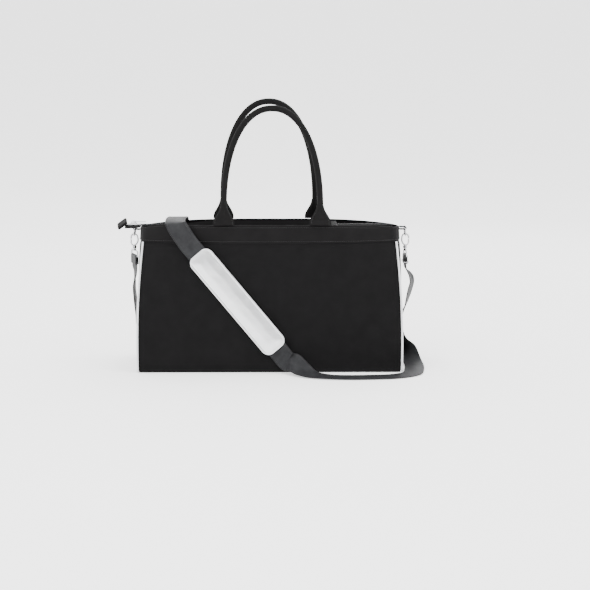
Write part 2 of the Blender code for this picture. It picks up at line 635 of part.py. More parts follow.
def strap_stations():
    """Hand-set stations of the strap, right hook to left: a place and the way its width lies."""
    x_axis, y_axis = Vector((1, 0, 0)), Vector((0, 1, 0))
    diagonal = Vector((0.7653, 0.0, 0.6437)).normalized()
    straight = [(PAD_TOP + PAD_RUN * s, diagonal) for s in (0.262, 0.235, 0.180, 0.120, 0.060, 0.0, -0.022)]
    right = [
        ((0.2616, 0.000, 0.1972), y_axis),
        ((0.2632, 0.001, 0.1870), y_axis),
        ((0.2712, 0.003, 0.1740), Vector((0.20, 0.98, 0))),
        ((0.2752, 0.008, 0.1600), Vector((0.32, 0.95, 0))),
        ((0.2730, 0.016, 0.1400), Vector((0.32, 0.95, 0))),
        ((0.2680, 0.026, 0.1150), Vector((0.20, 0.98, 0))),
        ((0.2605, 0.036, 0.0900), Vector((0.05, 1.0, 0))),
        ((0.2590, 0.042, 0.0640), Vector((-0.10, 0.98, 0.05))),
        ((0.2630, 0.040, 0.0400), Vector((-0.35, 0.92, 0.15))),
        ((0.2710, 0.028, 0.0200), Vector((-0.70, 0.65, 0.15))),
        ((0.2770, 0.005, 0.0070), Vector((-0.95, 0.25, 0.05))),
        ((0.2790, -0.030, 0.0022), Vector((-1.0, 0.0, 0.0))),
        ((0.2750, -0.070, 0.0016), Vector((-0.97, 0.25, 0.0))),
        ((0.2650, -0.108, 0.0016), Vector((-0.75, 0.65, 0.0))),
        ((0.2320, -0.131, 0.0016), Vector((-0.40, 0.90, 0.0))),
        ((0.1900, -0.138, 0.0016), Vector((-0.10, 1.0, 0.0))),
        ((0.1500, -0.1400, 0.0016), Vector((0.0, 1, 0.0))),
        ((0.1120, -0.1370, 0.0022), Vector((0.20, 0.97, 0.0))),
        ((0.0800, -0.1290, 0.0050), Vector((0.50, 0.85, 0.10))),
        ((0.0600, -0.1170, 0.0130), Vector((0.66, 0.60, 0.40))),
        ((0.0440, -0.1055, 0.0230), Vector((0.74, 0.25, 0.62))),
    ]
    over = [
        ((-0.1590, -0.0770, 0.2542), Vector((0.80, 0, 0.6))),
        ((-0.1700, -0.0715, 0.2700), Vector((0.90, 0, 0.43))),
        ((-0.1768, -0.0620, 0.2812), Vector((0.99, 0.02, 0.10))),
        ((-0.1795, -0.0320, 0.2845), x_axis),
        ((-0.1805, 0.0000, 0.2850), x_axis),
        ((-0.1810, 0.0300, 0.2843), x_axis),
        ((-0.1805, 0.0590, 0.2825), x_axis),
        ((-0.1800, 0.0725, 0.2740), x_axis),
        ((-0.1785, 0.0820, 0.2500), x_axis),
        ((-0.1760, 0.0890, 0.2150), x_axis),
        ((-0.1735, 0.0950, 0.1750), x_axis),
        ((-0.1735, 0.1010, 0.1350), Vector((0.98, 0, -0.1500))),
        ((-0.1780, 0.1060, 0.1000), Vector((0.85, 0, -0.5000))),
        ((-0.1900, 0.1100, 0.0720), Vector((0.60, 0, -0.8000))),
        ((-0.2100, 0.1140, 0.0560), Vector((0.25, 0, -0.9700))),
        ((-0.2330, 0.1120, 0.0530), Vector((0.00, 0, -1.0000))),
        ((-0.2530, 0.1000, 0.0570), Vector((0.05, -0.10, -1.0000))),
        ((-0.2640, 0.0780, 0.0660), Vector((0.05, -0.25, -0.9500))),
        ((-0.2650, 0.0540, 0.0820), Vector((0.00, -0.50, -0.8500))),
        ((-0.2640, 0.0360, 0.1060), Vector((0.00, -0.75, -0.6000))),
        ((-0.2650, 0.0220, 0.1330), Vector((0.00, -0.92, -0.3500))),
        ((-0.2645, 0.0100, 0.1620), Vector((0.00, -1.0, -0.2000))),
        ((-0.2622, 0.0012, 0.1830), Vector((0.28, -0.96, 0.0000))),
        ((-0.2616, 0.0000, 0.1966), Vector((0.342, -0.94, 0.0000))),
    ]
    return ([(Vector(p), w) for p, w in right] + straight + [(Vector(p), w) for p, w in over])


def ribbon(bm, stations, width, thickness, steps):
    """A flat band through stations of a place and a width direction."""
    path = smooth_path([p for p, w in stations], steps)
    widths = smooth_path([w for p, w in stations], steps)
    rings = []
    for point, along, across in zip(path, tangents(path), widths):
        across = (across - along * along.dot(across)).normalized()
        normal = along.cross(across)
        a, n = across * width / 2, normal * thickness / 2
        rings.append([point - a - n, point + a - n, point + a + n, point - a + n])
    add_rings(bm, rings)
    return path


def make_strap():
    bm = bmesh.new()
    ribbon(bm, strap_stations(), STRAP_WIDTH, STRAP_THICKNESS, 2)
    finish("shoulder_strap", bm, STRAP_FABRIC)


def make_pad():
    """Shoulder pad: a flat sleeve that the strap runs through."""
    diagonal = Vector((0.7653, 0.0, 0.6437)).normalized()
    across = (diagonal - PAD_RUN * PAD_RUN.dot(diagonal)).normalized()
    normal = PAD_RUN.cross(across)
    if normal.y > 0:
        normal = -normal
    corner = 0.015
    outer_rings, inner_rings = [], []
    shares = [0.0, 0.0016, 0.0060, corner, PAD_LENGTH / 2, PAD_LENGTH - corner, PAD_LENGTH - 0.0060,
              PAD_LENGTH - 0.0016, PAD_LENGTH]
    half_slot, slot_thick = STRAP_WIDTH / 2 + 0.0006, STRAP_THICKNESS / 2 + 0.0006
    for s in shares:
        inside = min(s, PAD_LENGTH - s)
        cut = corner - (max(0.0, corner ** 2 - (corner - min(inside, corner)) ** 2)) ** 0.5
        half = max(PAD_WIDTH / 2 - cut, half_slot + 0.0012)
        centre = PAD_TOP + PAD_RUN * s
        thick = PAD_THICKNESS / 2
        section = [(-half, -thick * 0.45), (-half + 0.002, -thick), (half - 0.002, -thick), (half, -thick * 0.45),
                   (half, thick * 0.45), (half - 0.002, thick), (-half + 0.002, thick), (-half, thick * 0.45)]
        hole = [(-half_slot, -slot_thick), (-half_slot + 0.001, -slot_thick), (half_slot - 0.001, -slot_thick),
                (half_slot, -slot_thick), (half_slot, slot_thick), (half_slot - 0.001, slot_thick),
                (-half_slot + 0.001, slot_thick), (-half_slot, slot_thick)]
        outer_rings.append([centre + across * a + normal * n for a, n in section])
        inner_rings.append([centre + across * a + normal * n for a, n in hole])
    bm = bmesh.new()
    add_rings(bm, outer_rings + inner_rings[::-1], closed_path=True)
    finish("shoulder_pad", bm, SILVER_PAD, PAD_TOP)


def make_strap_end(name, side, bar_z, yaw):
    """The strap's end, folded round the swivel loop's lower bar and sewn."""
    x0 = hook_centre(side)
    inner, outer = 0.0018, 0.0034
    low = bar_z - STRAP_END_LENGTH
    section = [(outer * cos(a), bar_z + outer * sin(a)) for a in spread(pi, 0, 7)]
    section += [(outer, low), (inner, low)]
    section += [(inner * cos(a), bar_z + inner * sin(a)) for a in spread(0, pi, 7)]
    section += [(-inner, low), (-outer, low)]
    half = STRAP_WIDTH / 2
    turned = Matrix.Rotation(yaw, 3, "Z")
    bm = bmesh.new()
    rings = [[turned @ Vector((x, y, z)) + Vector((x0, 0, 0)) for x, z in section] for y in (-half, half)]
    add_rings(bm, rings)
    finish(name, bm, STRAP_FABRIC)


def make_adjuster(bar_z):
    """The slide that sets the strap's length, round the two layers of the right end."""
    x0 = hook_centre(1)
    z = bar_z - 0.0110
    bm = bmesh.new()
    outline = rounded_outline(0.0050, 0.0213, 0.0022, 3)
    tube(bm, [(x0 + x, y, z) for x, y in outline], 0.0011, sides=8, closed=True, side_hint=(0, 0, 1))
    finish("right_strap_adjuster", bm, NICKEL, (x0, 0, z))


make_front_or_rear("front_panel", -1)
make_front_or_rear("rear_panel", 1)
make_gusset("left_gusset", -1)
make_gusset("right_gusset", 1)
make_band("front_top_band", -1)
make_band("rear_top_band", 1)
for x_name, sx in (("left", -1), ("right", 1)):
    for y_name, sy in (("front", -1), ("rear", 1)):
        make_piping(f"{y_name}_{x_name}_piping", sx, sy)
make_base()
make_lining()
make_zip()
make_puller()
make_handle("front", -1, FRONT_LEAN, FRONT_HANDLE_SHIFT)
make_handle("rear", 1, REAR_LEAN, REAR_HANDLE_SHIFT)
for end, s in (("left", -1), ("right", 1)):
    make_ring_tab(f"{end}_ring_tab", s)
    make_ring(f"{end}_d_ring", s)
    make_hook(f"{end}_snap_hook", s)
    make_gate(f"{end}_hook_gate", s)
right_z = make_swivel("right_swivel_loop", 1, 0.0)
left_z = make_swivel("left_swivel_loop", -1, LEFT_SWIVEL_YAW)
make_strap_end("right_strap_end", 1, right_z, 0.0)
make_strap_end("left_strap_end", -1, left_z, LEFT_SWIVEL_YAW)
make_adjuster(right_z)
make_strap()
make_pad()
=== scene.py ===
"""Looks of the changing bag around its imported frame: fabric, seams, zip, metalwork, strap and pad."""

from functools import lru_cache
from math import copysign, cos, pi, radians, sin, sqrt

import bmesh
import bpy
from mathutils import Matrix, Vector, noise


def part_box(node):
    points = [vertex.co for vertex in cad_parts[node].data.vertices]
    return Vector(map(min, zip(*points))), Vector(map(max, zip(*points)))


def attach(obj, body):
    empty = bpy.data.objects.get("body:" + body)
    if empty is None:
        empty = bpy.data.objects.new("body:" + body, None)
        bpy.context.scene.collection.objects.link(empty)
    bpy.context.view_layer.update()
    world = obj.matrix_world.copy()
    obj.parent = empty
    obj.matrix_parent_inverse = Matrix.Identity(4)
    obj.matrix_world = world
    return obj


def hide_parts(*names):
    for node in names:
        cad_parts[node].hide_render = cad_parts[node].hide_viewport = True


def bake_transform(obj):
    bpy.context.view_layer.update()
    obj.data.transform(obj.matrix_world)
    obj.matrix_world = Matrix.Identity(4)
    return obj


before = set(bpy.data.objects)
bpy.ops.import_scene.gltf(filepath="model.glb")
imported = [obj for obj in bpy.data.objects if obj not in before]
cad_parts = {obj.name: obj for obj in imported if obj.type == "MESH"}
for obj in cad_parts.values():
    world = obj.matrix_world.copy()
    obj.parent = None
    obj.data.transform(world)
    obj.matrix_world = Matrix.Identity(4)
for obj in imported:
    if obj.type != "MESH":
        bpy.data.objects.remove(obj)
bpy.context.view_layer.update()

# ---- sizes in metres, from the frame's boxes where they are in one
PANEL_LOW, PANEL_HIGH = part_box("front_panel")
BAND_LOW, BAND_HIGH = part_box("front_top_band")
HEIGHT = BAND_HIGH.z
HALF_DEPTH = -PANEL_LOW.y
HALF_WIDTH = 0.25
SIDE_TAPER = 0.0125
SIDE_BULGE = 0.0055
GUSSET_BULGE = 0.011
END_DIP = 0.0075
MOUTH_HALF_DEPTH = 0.075
CORNER_HALF_DEPTH = 0.032
WALL = 0.003
FLAP_LEFT_X, FLAP_RIGHT_X = (corner.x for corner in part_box("front_zip_panel"))
FLAP_FREE = 0.07
TAIL_LOW, TAIL_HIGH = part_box("zip_tail_tape")
END_LOW, END_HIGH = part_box("zip_end_tape")
ZIP_Z = sum(corner.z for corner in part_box("zip_tail_chain")) / 2
ZIP_HINGE_Y = 0.064
ZIP_OPEN = radians(68)
STRAP_WIDTH = 0.038
STRAP_THICKNESS = 0.0018
ROWS = (("front", -1), ("rear", 1))
ENDS = (("left", -1), ("right", 1))


# ---- shape helpers
def spread(low, high, count):
    """Even steps from low to high, both included."""
    return [low + (high - low) * i / (count - 1) for i in range(count)]


def turns(count):
    """Even angles once round."""
    return [2 * pi * k / count for k in range(count)]


def smoothstep(low, high, value):
    """0 below low, 1 above high, and smooth between them."""
    t = min(1.0, max(0.0, (value - low) / (high - low)))
    return t * t * (3 - 2 * t)


def noise_at(x, y, z):
    """Smooth noise at a place, from -1 to 1."""
    return noise.noise(Vector((x, y, z)))


def finish_mesh(name, bm, material, body, smooth_angle=60, weld=1e-7):
    """Makes an object of a bmesh in frame metres, gives it its material and lets it ride on a body."""
    if weld:
        bmesh.ops.remove_doubles(bm, verts=bm.verts, dist=weld)
    bmesh.ops.recalc_face_normals(bm, faces=bm.faces)
    mesh = bpy.data.meshes.new(name)
    bm.to_mesh(mesh)
    bm.free()
    mesh.shade_smooth()
    if smooth_angle:
        mesh.set_sharp_from_angle(angle=radians(smooth_angle))
    mesh.materials.append(material)
    made = bpy.data.objects.new(name, mesh)
    bpy.context.scene.collection.objects.link(made)
    if body:
        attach(made, body)
    return made


def piece(name, bm, material, body, node, smooth_angle=60, weld=1e-7):
    """Finishes a piece that stands in for a CAD node."""
    made = finish_mesh(name, bm, material, body, smooth_angle, weld)
    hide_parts(node)
    return made


def add_rings(bm, rings, closed_rings=True, closed_path=False, caps=True):
    """Skins a row of equally long rings of points, with a cap at each end."""
    rows = [[bm.verts.new(point) for point in ring] for ring in rings]
    count = len(rows[0])
    last_row = len(rows) if closed_path else len(rows) - 1
    last_side = count if closed_rings else count - 1
    for i in range(last_row):
        near, far = rows[i], rows[(i + 1) % len(rows)]
        for k in range(last_side):
            nxt = (k + 1) % count
            bm.faces.new((near[k], near[nxt], far[nxt], far[k]))
    if caps and not closed_path:
        bm.faces.new(rows[0][::-1])
        bm.faces.new(rows[-1])


def skin(rings, **kind):
    """A new bmesh with one skinned row of rings."""
    bm = bmesh.new()
    add_rings(bm, rings, **kind)
    return bm


def tangents(points, closed=False):
    """The direction of a path at each of its points."""
    count = len(points)
    found = []
    for i in range(count):
        before = points[(i - 1) % count] if closed or i else points[0]
        after = points[(i + 1) % count] if closed or i < count - 1 else points[-1]
        found.append((after - before).normalized())
    return found


def square_to(vector, along):
    """The part of a vector that lies square to a direction, at unit length."""
    return (vector - along * along.dot(vector)).normalized()


def tube(bm, points, radius, sides=16, closed=False, side_hint=(0, 1, 0)):
    """A round tube along a path; radius may be a function of the share covered."""
    path = [Vector(p) for p in points]
    rings = []
    for i, (point, along) in enumerate(zip(path, tangents(path, closed))):
        across = square_to(Vector(side_hint), along)
        third = along.cross(across)
        r = radius(i / (len(path) - 1)) if callable(radius) else radius
        rings.append([point + across * r * cos(a) + third * r * sin(a) for a in turns(sides)])
    add_rings(bm, rings, closed_path=closed)


def wire(points, radius, sides=14, closed=False, side_hint=(0, 1, 0)):
    """A new bmesh with one tube."""
    bm = bmesh.new()
    tube(bm, points, radius, sides, closed, side_hint)
    return bm


def turned(bm, centre, profile, sides):
    """A solid turned about Z at a centre, from its (z, radius) pairs."""
    add_rings(bm, [[centre + Vector((r * cos(a), r * sin(a), z)) for a in turns(sides)] for z, r in profile])


def smooth_path(stations, steps):
    """Points of a Catmull-Rom curve through the stations."""
    pts = [Vector(s) for s in stations]
    made = []
    for p0, p1, p2, p3 in zip(pts[:1] + pts, pts, pts[1:], pts[2:] + pts[-1:]):
        for k in range(steps):
            t = k / steps
            made.append(0.5 * (2 * p1 + (p2 - p0) * t + (2 * p0 - 5 * p1 + 4 * p2 - p3) * t * t
                               + (3 * p1 - p0 - 3 * p2 + p3) * t ** 3))
    made.append(pts[-1])
    return made


def resample(points, pitch):
    """Points and directions at even steps along a path."""
    found, carried = [], 0.0
    for a, b in zip(points, points[1:]):
        length = (b - a).length
        if length < 1e-9:
            continue
        along = (b - a) / length
        at = -carried
        while at + pitch <= length:
            at += pitch
            found.append((a + along * at, along))
        carried = length - at
    return found


# A stitch, from end to end: the share of its length, of its radius, and how many radii it sinks.
ROUND_STITCH = ((-0.5, 0.35, 0.9), (-0.32, 0.9, 0.1), (0.0, 1.0, 0.0), (0.32, 0.9, 0.1), (0.5, 0.35, 0.9))
PLAIN_STITCH = ((-0.5, 0.35, 0.9), (-0.3, 0.95, 0.1), (0.3, 0.95, 0.1), (0.5, 0.35, 0.9))


def stitch(bm, centre, along, up, shape, length, radius, lift=0.0):
    """One stitch on a surface whose normal is up."""
    across = along.cross(up)
    rings = []
    for t, grow, sink in shape:
        base = centre + along * length * t + up * (lift - radius * sink)
        rings.append([base + (across * cos(a) + up * sin(a)) * radius * grow for a in turns(6)])
    add_rings(bm, rings)


def stitch_line(bm, points, normal, pitch=0.0034, length=0.0026, lift=0.0001):
    """A row of stitches lying on a surface. normal is a vector or a function of a point."""
    for centre, along in resample([Vector(p) for p in points], pitch):
        up = square_to(Vector(normal(centre)) if callable(normal) else Vector(normal), along)
        stitch(bm, centre, along, up, ROUND_STITCH, length, 0.00028, lift)


def stitch_normals(bm, line, pitch, length, radius):
    """Stitches along a line of (point, normal)."""
    walked, at = 0.0, pitch
    for (a, na), (b, nb) in zip(line, line[1:]):
        span = (b - a).length
        if span < 1e-9:
            continue
        along = (b - a) / span
        while at <= walked + span:
            share = (at - walked) / span
            up = na.lerp(nb, share).normalized()
            stitch(bm, a.lerp(b, share), along, up, PLAIN_STITCH, length, radius)
            at += pitch
        walked += span


def rounded_outline(half_x, half_y, corner, steps=6):
    """Points of a rectangle with round corners."""
    found = []
    for quarter, (sx, sy) in enumerate(((1, 1), (-1, 1), (-1, -1), (1, -1))):
        for k in range(steps + 1):
            a = pi / 2 * (quarter + k / steps)
            found.append((sx * (half_x - corner) + corner * cos(a), sy * (half_y - corner) + corner * sin(a)))
    return found


def rounded_slab(half_x, half_y, corner, levels):
    """A flat slab with round corners; levels are its heights, each with how far the edge is drawn in."""
    return skin([[(x, y, z) for x, y in rounded_outline(half_x - inset, half_y - inset, corner)]
                 for z, inset in levels])


# ---- materials
class Graph:
    """A node tree being filled in. Each method adds a node and returns its output."""

    def __init__(self, tree):
        self.nodes, self.links = tree.nodes, tree.links

    def add(self, kind, output, inputs, **settings):
        """One node; an input is either a value or the output it is joined to."""
        node = self.nodes.new("ShaderNode" + kind)
        for name, value in settings.items():
            setattr(node, name, value)
        for name, value in inputs.items():
            if isinstance(value, bpy.types.NodeSocket):
                self.links.new(value, node.inputs[name])
            else:
                node.inputs[name].default_value = value
        return node.outputs[output]

    def place(self, scale=(1, 1, 1), turn=(0, 0, 0)):
        spot = self.add("TexCoord", "Object", {})
        return self.add("Mapping", "Vector", {"Vector": spot, "Scale": scale, "Rotation": turn})

    def noise(self, vector, scale, detail=3.0, roughness=0.6):
        return self.add("TexNoise", "Fac",
                        {"Vector": vector, "Scale": scale, "Detail": detail, "Roughness": roughness})

    def wave(self, vector, direction, period, distortion=0.0):
        """Bands with a period in metres along one axis."""
        scale = 2 * pi / 20 / period
        inputs = {"Vector": vector, "Scale": scale, "Distortion": distortion, "Detail Scale": 2.0}
        return self.add("TexWave", "Fac", inputs, wave_type="BANDS", bands_direction=direction)

    def cells(self, vector, scale, feature="F1"):
        return self.add("TexVoronoi", "Distance", {"Vector": vector, "Scale": scale}, feature=feature)

    def math(self, operation, *values):
        return self.add("Math", 0, dict(enumerate(values)), operation=operation)

    def ramp(self, factor, dark, light, low=0.3, high=0.7):
        """A colour between two, by a factor."""
        made = self.nodes.new("ShaderNodeValToRGB")
        for element, position, color in zip(made.color_ramp.elements, (low, high), (dark, light)):
            element.position, element.color = position, (*color, 1)
        self.links.new(factor, made.inputs["Fac"])
        return made.outputs["Color"]


class Look(Graph):
    """A Principled material."""

    def __init__(self, name, color, roughness, metallic=0.0, **sockets):
        self.material = bpy.data.materials.new(name)
        self.material.use_nodes = True
        super().__init__(self.material.node_tree)
        self.shader = self.nodes["Principled BSDF"]
        sockets.update(Base_Color=(*color, 1.0), Roughness=roughness, Metallic=metallic)
        for socket, value in sockets.items():
            self.shader.inputs[socket.replace("_", " ")].default_value = value

    def color(self, factor, dark, light, low=0.3, high=0.7):
        self.links.new(self.ramp(factor, dark, light, low, high), self.shader.inputs["Base Color"])

    def rough(self, factor, low, high):
        made = self.add("MapRange", "Result", {"Value": factor, "To Min": low, "To Max": high})
        self.links.new(made, self.shader.inputs["Roughness"])

    def bump(self, height, strength, distance, after=None):
        inputs = {"Height": height, "Strength": strength, "Distance": distance}
        if after is not None:
            inputs["Normal"] = after
        made = self.add("Bump", "Normal", inputs)
        self.links.new(made, self.shader.inputs["Normal"])
        return made


def knit(name, dark, light, sheen, pitch=0.0011):
    """Fine knitted fabric: small staggered loops, soft mottling, a faint nap."""
    look = Look(name, light, 0.75, Sheen_Weight=sheen, Sheen_Roughness=0.45, Specular_IOR_Level=0.07,
                Sheen_Tint=(0.75, 0.75, 0.78, 1))
    place = look.place()
    across, along, deep = (look.wave(place, axis, pitch * share, 0.6)
                           for axis, share in (("X", 1), ("Z", 0.72), ("Y", 1)))
    loops = look.math("MULTIPLY", across, along)
    loops = look.math("ADD", loops, look.math("MULTIPLY", deep, 0.35))
    nap = look.noise(place, 2600, 2.0, 0.7)
    mottle = look.noise(place, 38, 4.0)
    mixed = look.math("ADD", look.math("MULTIPLY", mottle, 0.6), look.math("MULTIPLY", nap, 0.4))
    look.color(mixed, dark, light, 0.35, 0.68)
    look.rough(mottle, 0.62, 0.82)
    look.bump(nap, 0.25, 0.0002, after=look.bump(loops, 0.3, 0.00025))
    return look.material


def woven(name, dark, light, pitch, bump=0.5):
    """Ribbed tape or webbing."""
    look = Look(name, light, 0.6, Specular_IOR_Level=0.08)
    place = look.place()
    ribs, cross, up = (look.wave(place, axis, pitch * share, 0.2)
                       for axis, share in (("X", 1), ("Y", 1.4), ("Z", 1.4)))
    weave = look.math("ADD", look.math("MULTIPLY", ribs, cross), look.math("MULTIPLY", up, 0.5))
    fuzz = look.noise(place, 1800, 2.0)
    look.color(fuzz, dark, light)
    look.rough(fuzz, 0.75, 0.9)
    look.bump(weave, bump, 0.0003)
    return look.material


def satin(name):
    """Smooth satin-faced strap with a fine rib across it; its soft grey sheen is mostly a painted sheen in
    the base colour, with a faint real specular on top.
    """
    look = Look(name, (0.02, 0.02, 0.021), 0.42, Specular_IOR_Level=0.05)
    place = look.place(turn=(0, radians(-40), 0))
    ribs = look.wave(place, "Z", 0.0007, 0.3)
    cloud = look.noise(place, 60, 4.0)
    streak = look.noise(look.place((900, 60, 60)), 1.0)
    # The grey of this base colour is a painted sheen on the black strap; the cloud only varies it a little.
    look.color(cloud, (0.017, 0.017, 0.0185), (0.03, 0.0305, 0.032))
    look.rough(streak, 0.36, 0.52)
    look.bump(ribs, 0.18, 0.0002)
    return look.material


def silver_leather(name):
    """Silver coated leatherette: metallic film over a fine pebbled grain."""
    look = Look(name, (0.86, 0.87, 0.885), 0.34, 0.8, Coat_Weight=0.1, Coat_Roughness=0.25)
    place = look.place()
    grain = look.cells(place, 900, "SMOOTH_F1")
    cloud = look.noise(place, 45, 4.0)
    fine = look.noise(place, 1500, 2.0)
    look.color(cloud, (0.8, 0.81, 0.825), (0.92, 0.925, 0.93))
    look.rough(cloud, 0.3, 0.42)
    look.bump(fine, 0.06, 0.0002, after=look.bump(grain, 0.16, 0.0003))
    return look.material


def reflective(name):
    """Reflective silver piping: pale cloth with glass-bead sparkle."""
    look = Look(name, (0.8, 0.81, 0.82), 0.4, 0.25)
    beads = look.cells(look.place(), 3500)
    twill = look.wave(look.place(turn=(0, radians(45), 0)), "Z", 0.0009, 0.3)
    look.color(twill, (0.66, 0.67, 0.69), (0.9, 0.9, 0.91), 0.1, 0.9)
    look.bump(beads, 0.3, 0.0002)
    return look.material


def shades(color, dark, light):
    """A colour made darker and lighter."""
    return [tuple(min(1, share * c) for c in color) for share in (dark, light)]


def metal(name, color):
    """Nickel plate with faint clouding and hair-line wear."""
    look = Look(name, color, 0.2, 1.0)
    cloud = look.noise(look.place(), 240, 4.0)
    hair = look.noise(look.place((3000, 300, 300)), 1.0, 2.0)
    look.color(cloud, *shades(color, 0.86, 1.1))
    look.rough(hair, 0.1, 0.22)
    look.bump(hair, 0.05, 0.0001)
    return look.material


def plastic(name, color, roughness):
    """Moulded plastic, board or thread with a faint clouding."""
    look = Look(name, color, roughness)
    cloud = look.noise(look.place(), 700)
    look.color(cloud, *shades(color, 0.8, 1.25))
    look.rough(cloud, roughness * 0.8, roughness * 1.15)
    look.bump(cloud, 0.1, 0.0001)
    return look.material


BODY = knit("bag_knit", (0.004, 0.0038, 0.004), (0.0069, 0.0066, 0.0069), 0.008)
# band_knit is bag_knit painted a little lighter: painted light, for the top band catching more light than the
# panels below it.
BAND = knit("band_knit", (0.005, 0.0047, 0.0049), (0.0086, 0.0081, 0.0084), 0.01)
HANDLE = knit("handle_knit", (0.005, 0.0047, 0.0048), (0.0086, 0.0082, 0.0083), 0.01, 0.0009)
LINING = woven("lining_cloth", (0.012, 0.012, 0.013), (0.024, 0.024, 0.026), 0.0006, 0.25)
WEBBING = woven("black_webbing", (0.008, 0.008, 0.008), (0.016, 0.016, 0.017), 0.0012)
TAPE = woven("zip_tape", (0.008, 0.008, 0.008), (0.016, 0.016, 0.016), 0.0007)
SATIN = satin("strap_satin")
SILVER = silver_leather("silver_leather")
PIPING = reflective("reflective_piping")
NICKEL = metal("nickel_plate", (0.52, 0.52, 0.53))
TEETH = plastic("zip_teeth", (0.014, 0.014, 0.014), 0.4)
BOARD = plastic("stiffener_board", (0.05, 0.05, 0.05), 0.7)
THREAD = plastic("black_thread", (0.01, 0.01, 0.01), 0.6)
SILVER_THREAD = plastic("grey_thread", (0.42, 0.43, 0.44), 0.55)


def seam(name, bm, body, thread=THREAD):
    """Finishes the stitches of one sewn line."""
    made = finish_mesh(name, bm, thread, body, weld=0)
    return made


# ---- the bag's form, as in the CAD
def half_width(z):
    """Half the bag's width at a height, at its corners."""
    share = z / HEIGHT
    return HALF_WIDTH - SIDE_TAPER * share + SIDE_BULGE * sin(pi * share)


def corner_half_depth(z):
    return HALF_DEPTH - (HALF_DEPTH - CORNER_HALF_DEPTH) * (max(z, 0.0) / HEIGHT) ** 1.3


def front_depth(u, z):
    """Half the bag's depth at a height; u runs from -1 to 1 between the corners."""
    middle = HALF_DEPTH - (HALF_DEPTH - MOUTH_HALF_DEPTH) * z / HEIGHT
    edge = corner_half_depth(z)
    return edge + (middle - edge) * (1 - min(1.0, abs(u)) ** 3)


def gusset_reach(v, z):
    """Half the bag's width at a height; v runs from -1 to 1 across a gusset."""
    return half_width(z) + (0.0005 + GUSSET_BULGE * (max(z, 0.0) / HEIGHT) ** 1.5) * (1 - v * v)


def top_edge(x):
    """Height of the mouth's edge, which dips towards the ends."""
    return HEIGHT - END_DIP * min(1.0, abs(x) / HALF_WIDTH) ** 4


def front_point(u, z, side):
    return Vector((u * half_width(z), side * front_depth(u, z), z))


def gusset_point(v, z, side):
    return Vector((side * gusset_reach(v, z), v * corner_half_depth(z), z))


def rumple(x, y, z, seed):
    """Soft uneven swell of padded cloth, from -1 to 1."""
    slow = noise_at(x * 9 + seed, y * 9, z * 7)
    fold = noise_at(x * 22, y * 22 + seed, z * 9 + x * 12)
    return 0.7 * slow + 0.35 * fold


def outward(point):
    """Roughly the level direction out of the bag."""
    return Vector((point.x * 0.12, point.y, 0))


def inward_of(before, point, after):
    """The level direction into the bag, square to the run of its plan at a point."""
    along = after - before
    inward = Vector((-along.y, along.x, 0)).normalized()
    return -inward if inward.dot(outward(point)) > 0 else inward


def inward_normals(columns):
    """The level direction into the bag at each point of a wall."""
    last = len(columns) - 1
    return [[inward_of(*trio) for trio in zip(columns[max(i - 1, 0)], column, columns[min(i + 1, last)])]
            for i, column in enumerate(columns)]


def thick_wall(columns, inwards, thickness):
    """A new bmesh of outer points and the same points moved inwards, joined round the rim."""
    return skin([column + [p + n * thickness for p, n in zip(column, row)][::-1]
                 for column, row in zip(columns, inwards)])


def panel_levels(low, high, count):
    """Heights up a panel, closer together at its foot and under its top seam."""
    return [low + (high - low) * (0.5 - 0.5 * cos(pi * t)) for t in spread(0, 1, count)]


def make_wall(name, node, at, count, swell, seed):
    """A wall panel: at(share, z) is its outer surface; it tucks in at its seams and swells between them."""
    low, high = PANEL_LOW.z, PANEL_HIGH.z
    shares = spread(-1, 1, count)
    columns = [[at(s, z) for z in panel_levels(low, high, 56)] for s in shares]
    normals = inward_normals(columns)
    shaped = []
    for s, column, row in zip(shares, columns, normals):
        from_side = min(s + 1, 1 - s) / 2
        made = []
        for point, inward in zip(column, row):
            up, down = point.z - low, high - point.z
            tuck = 0.0012 * (1 - smoothstep(0, 0.016, from_side))
            tuck += 0.0026 * (1 - smoothstep(0, 0.006, up)) ** 2
            tuck += 0.0012 * (1 - smoothstep(0, 0.007, down))
            free = smoothstep(0, 0.09, from_side) * smoothstep(0, 0.03, up) * smoothstep(0, 0.03, down)
            made.append(point + inward * (tuck + 0.0004 - swell * free * rumple(*point, seed)))
        shaped.append(made)
    piece(name, thick_wall(shaped, normals, 0.002), BODY, "root", node, 50)


def make_walls():
    """The two panels and the two gussets, each a little short of the corner seams."""
    for (row, side), seed in zip(ROWS, (3.1, 8.7)):
        make_wall(f"{row}_cover", f"{row}_panel",
                  lambda u, z: front_point(u * (1 - 0.0024 / half_width(z)), z, side), 110, 0.0016, seed)
    for (end, side), seed in zip(ENDS, (5.3, 1.9)):
        make_wall(f"{end}_gusset_cover", f"{end}_gusset",
                  lambda v, z: gusset_point(v * (1 - 0.0034 / corner_half_depth(z)), z, side),
                  40, 0.002, seed)


@lru_cache(maxsize=None)
def mouth_line(side, z, trim=0.0004, front_reach=0.985, end_reach=0.9, front_count=110, end_count=14):
    """Plan of half of the mouth at a height, from one gusset's middle to the other's."""
    start = trim / corner_half_depth(z)
    right = [gusset_point(side * s, z, 1) for s in spread(start, end_reach, end_count)]
    across = [front_point(u, z, side) for u in spread(front_reach, -front_reach, front_count)]
    left = [gusset_point(side * s, z, -1) for s in spread(end_reach, start, end_count)]
    return right + across + left


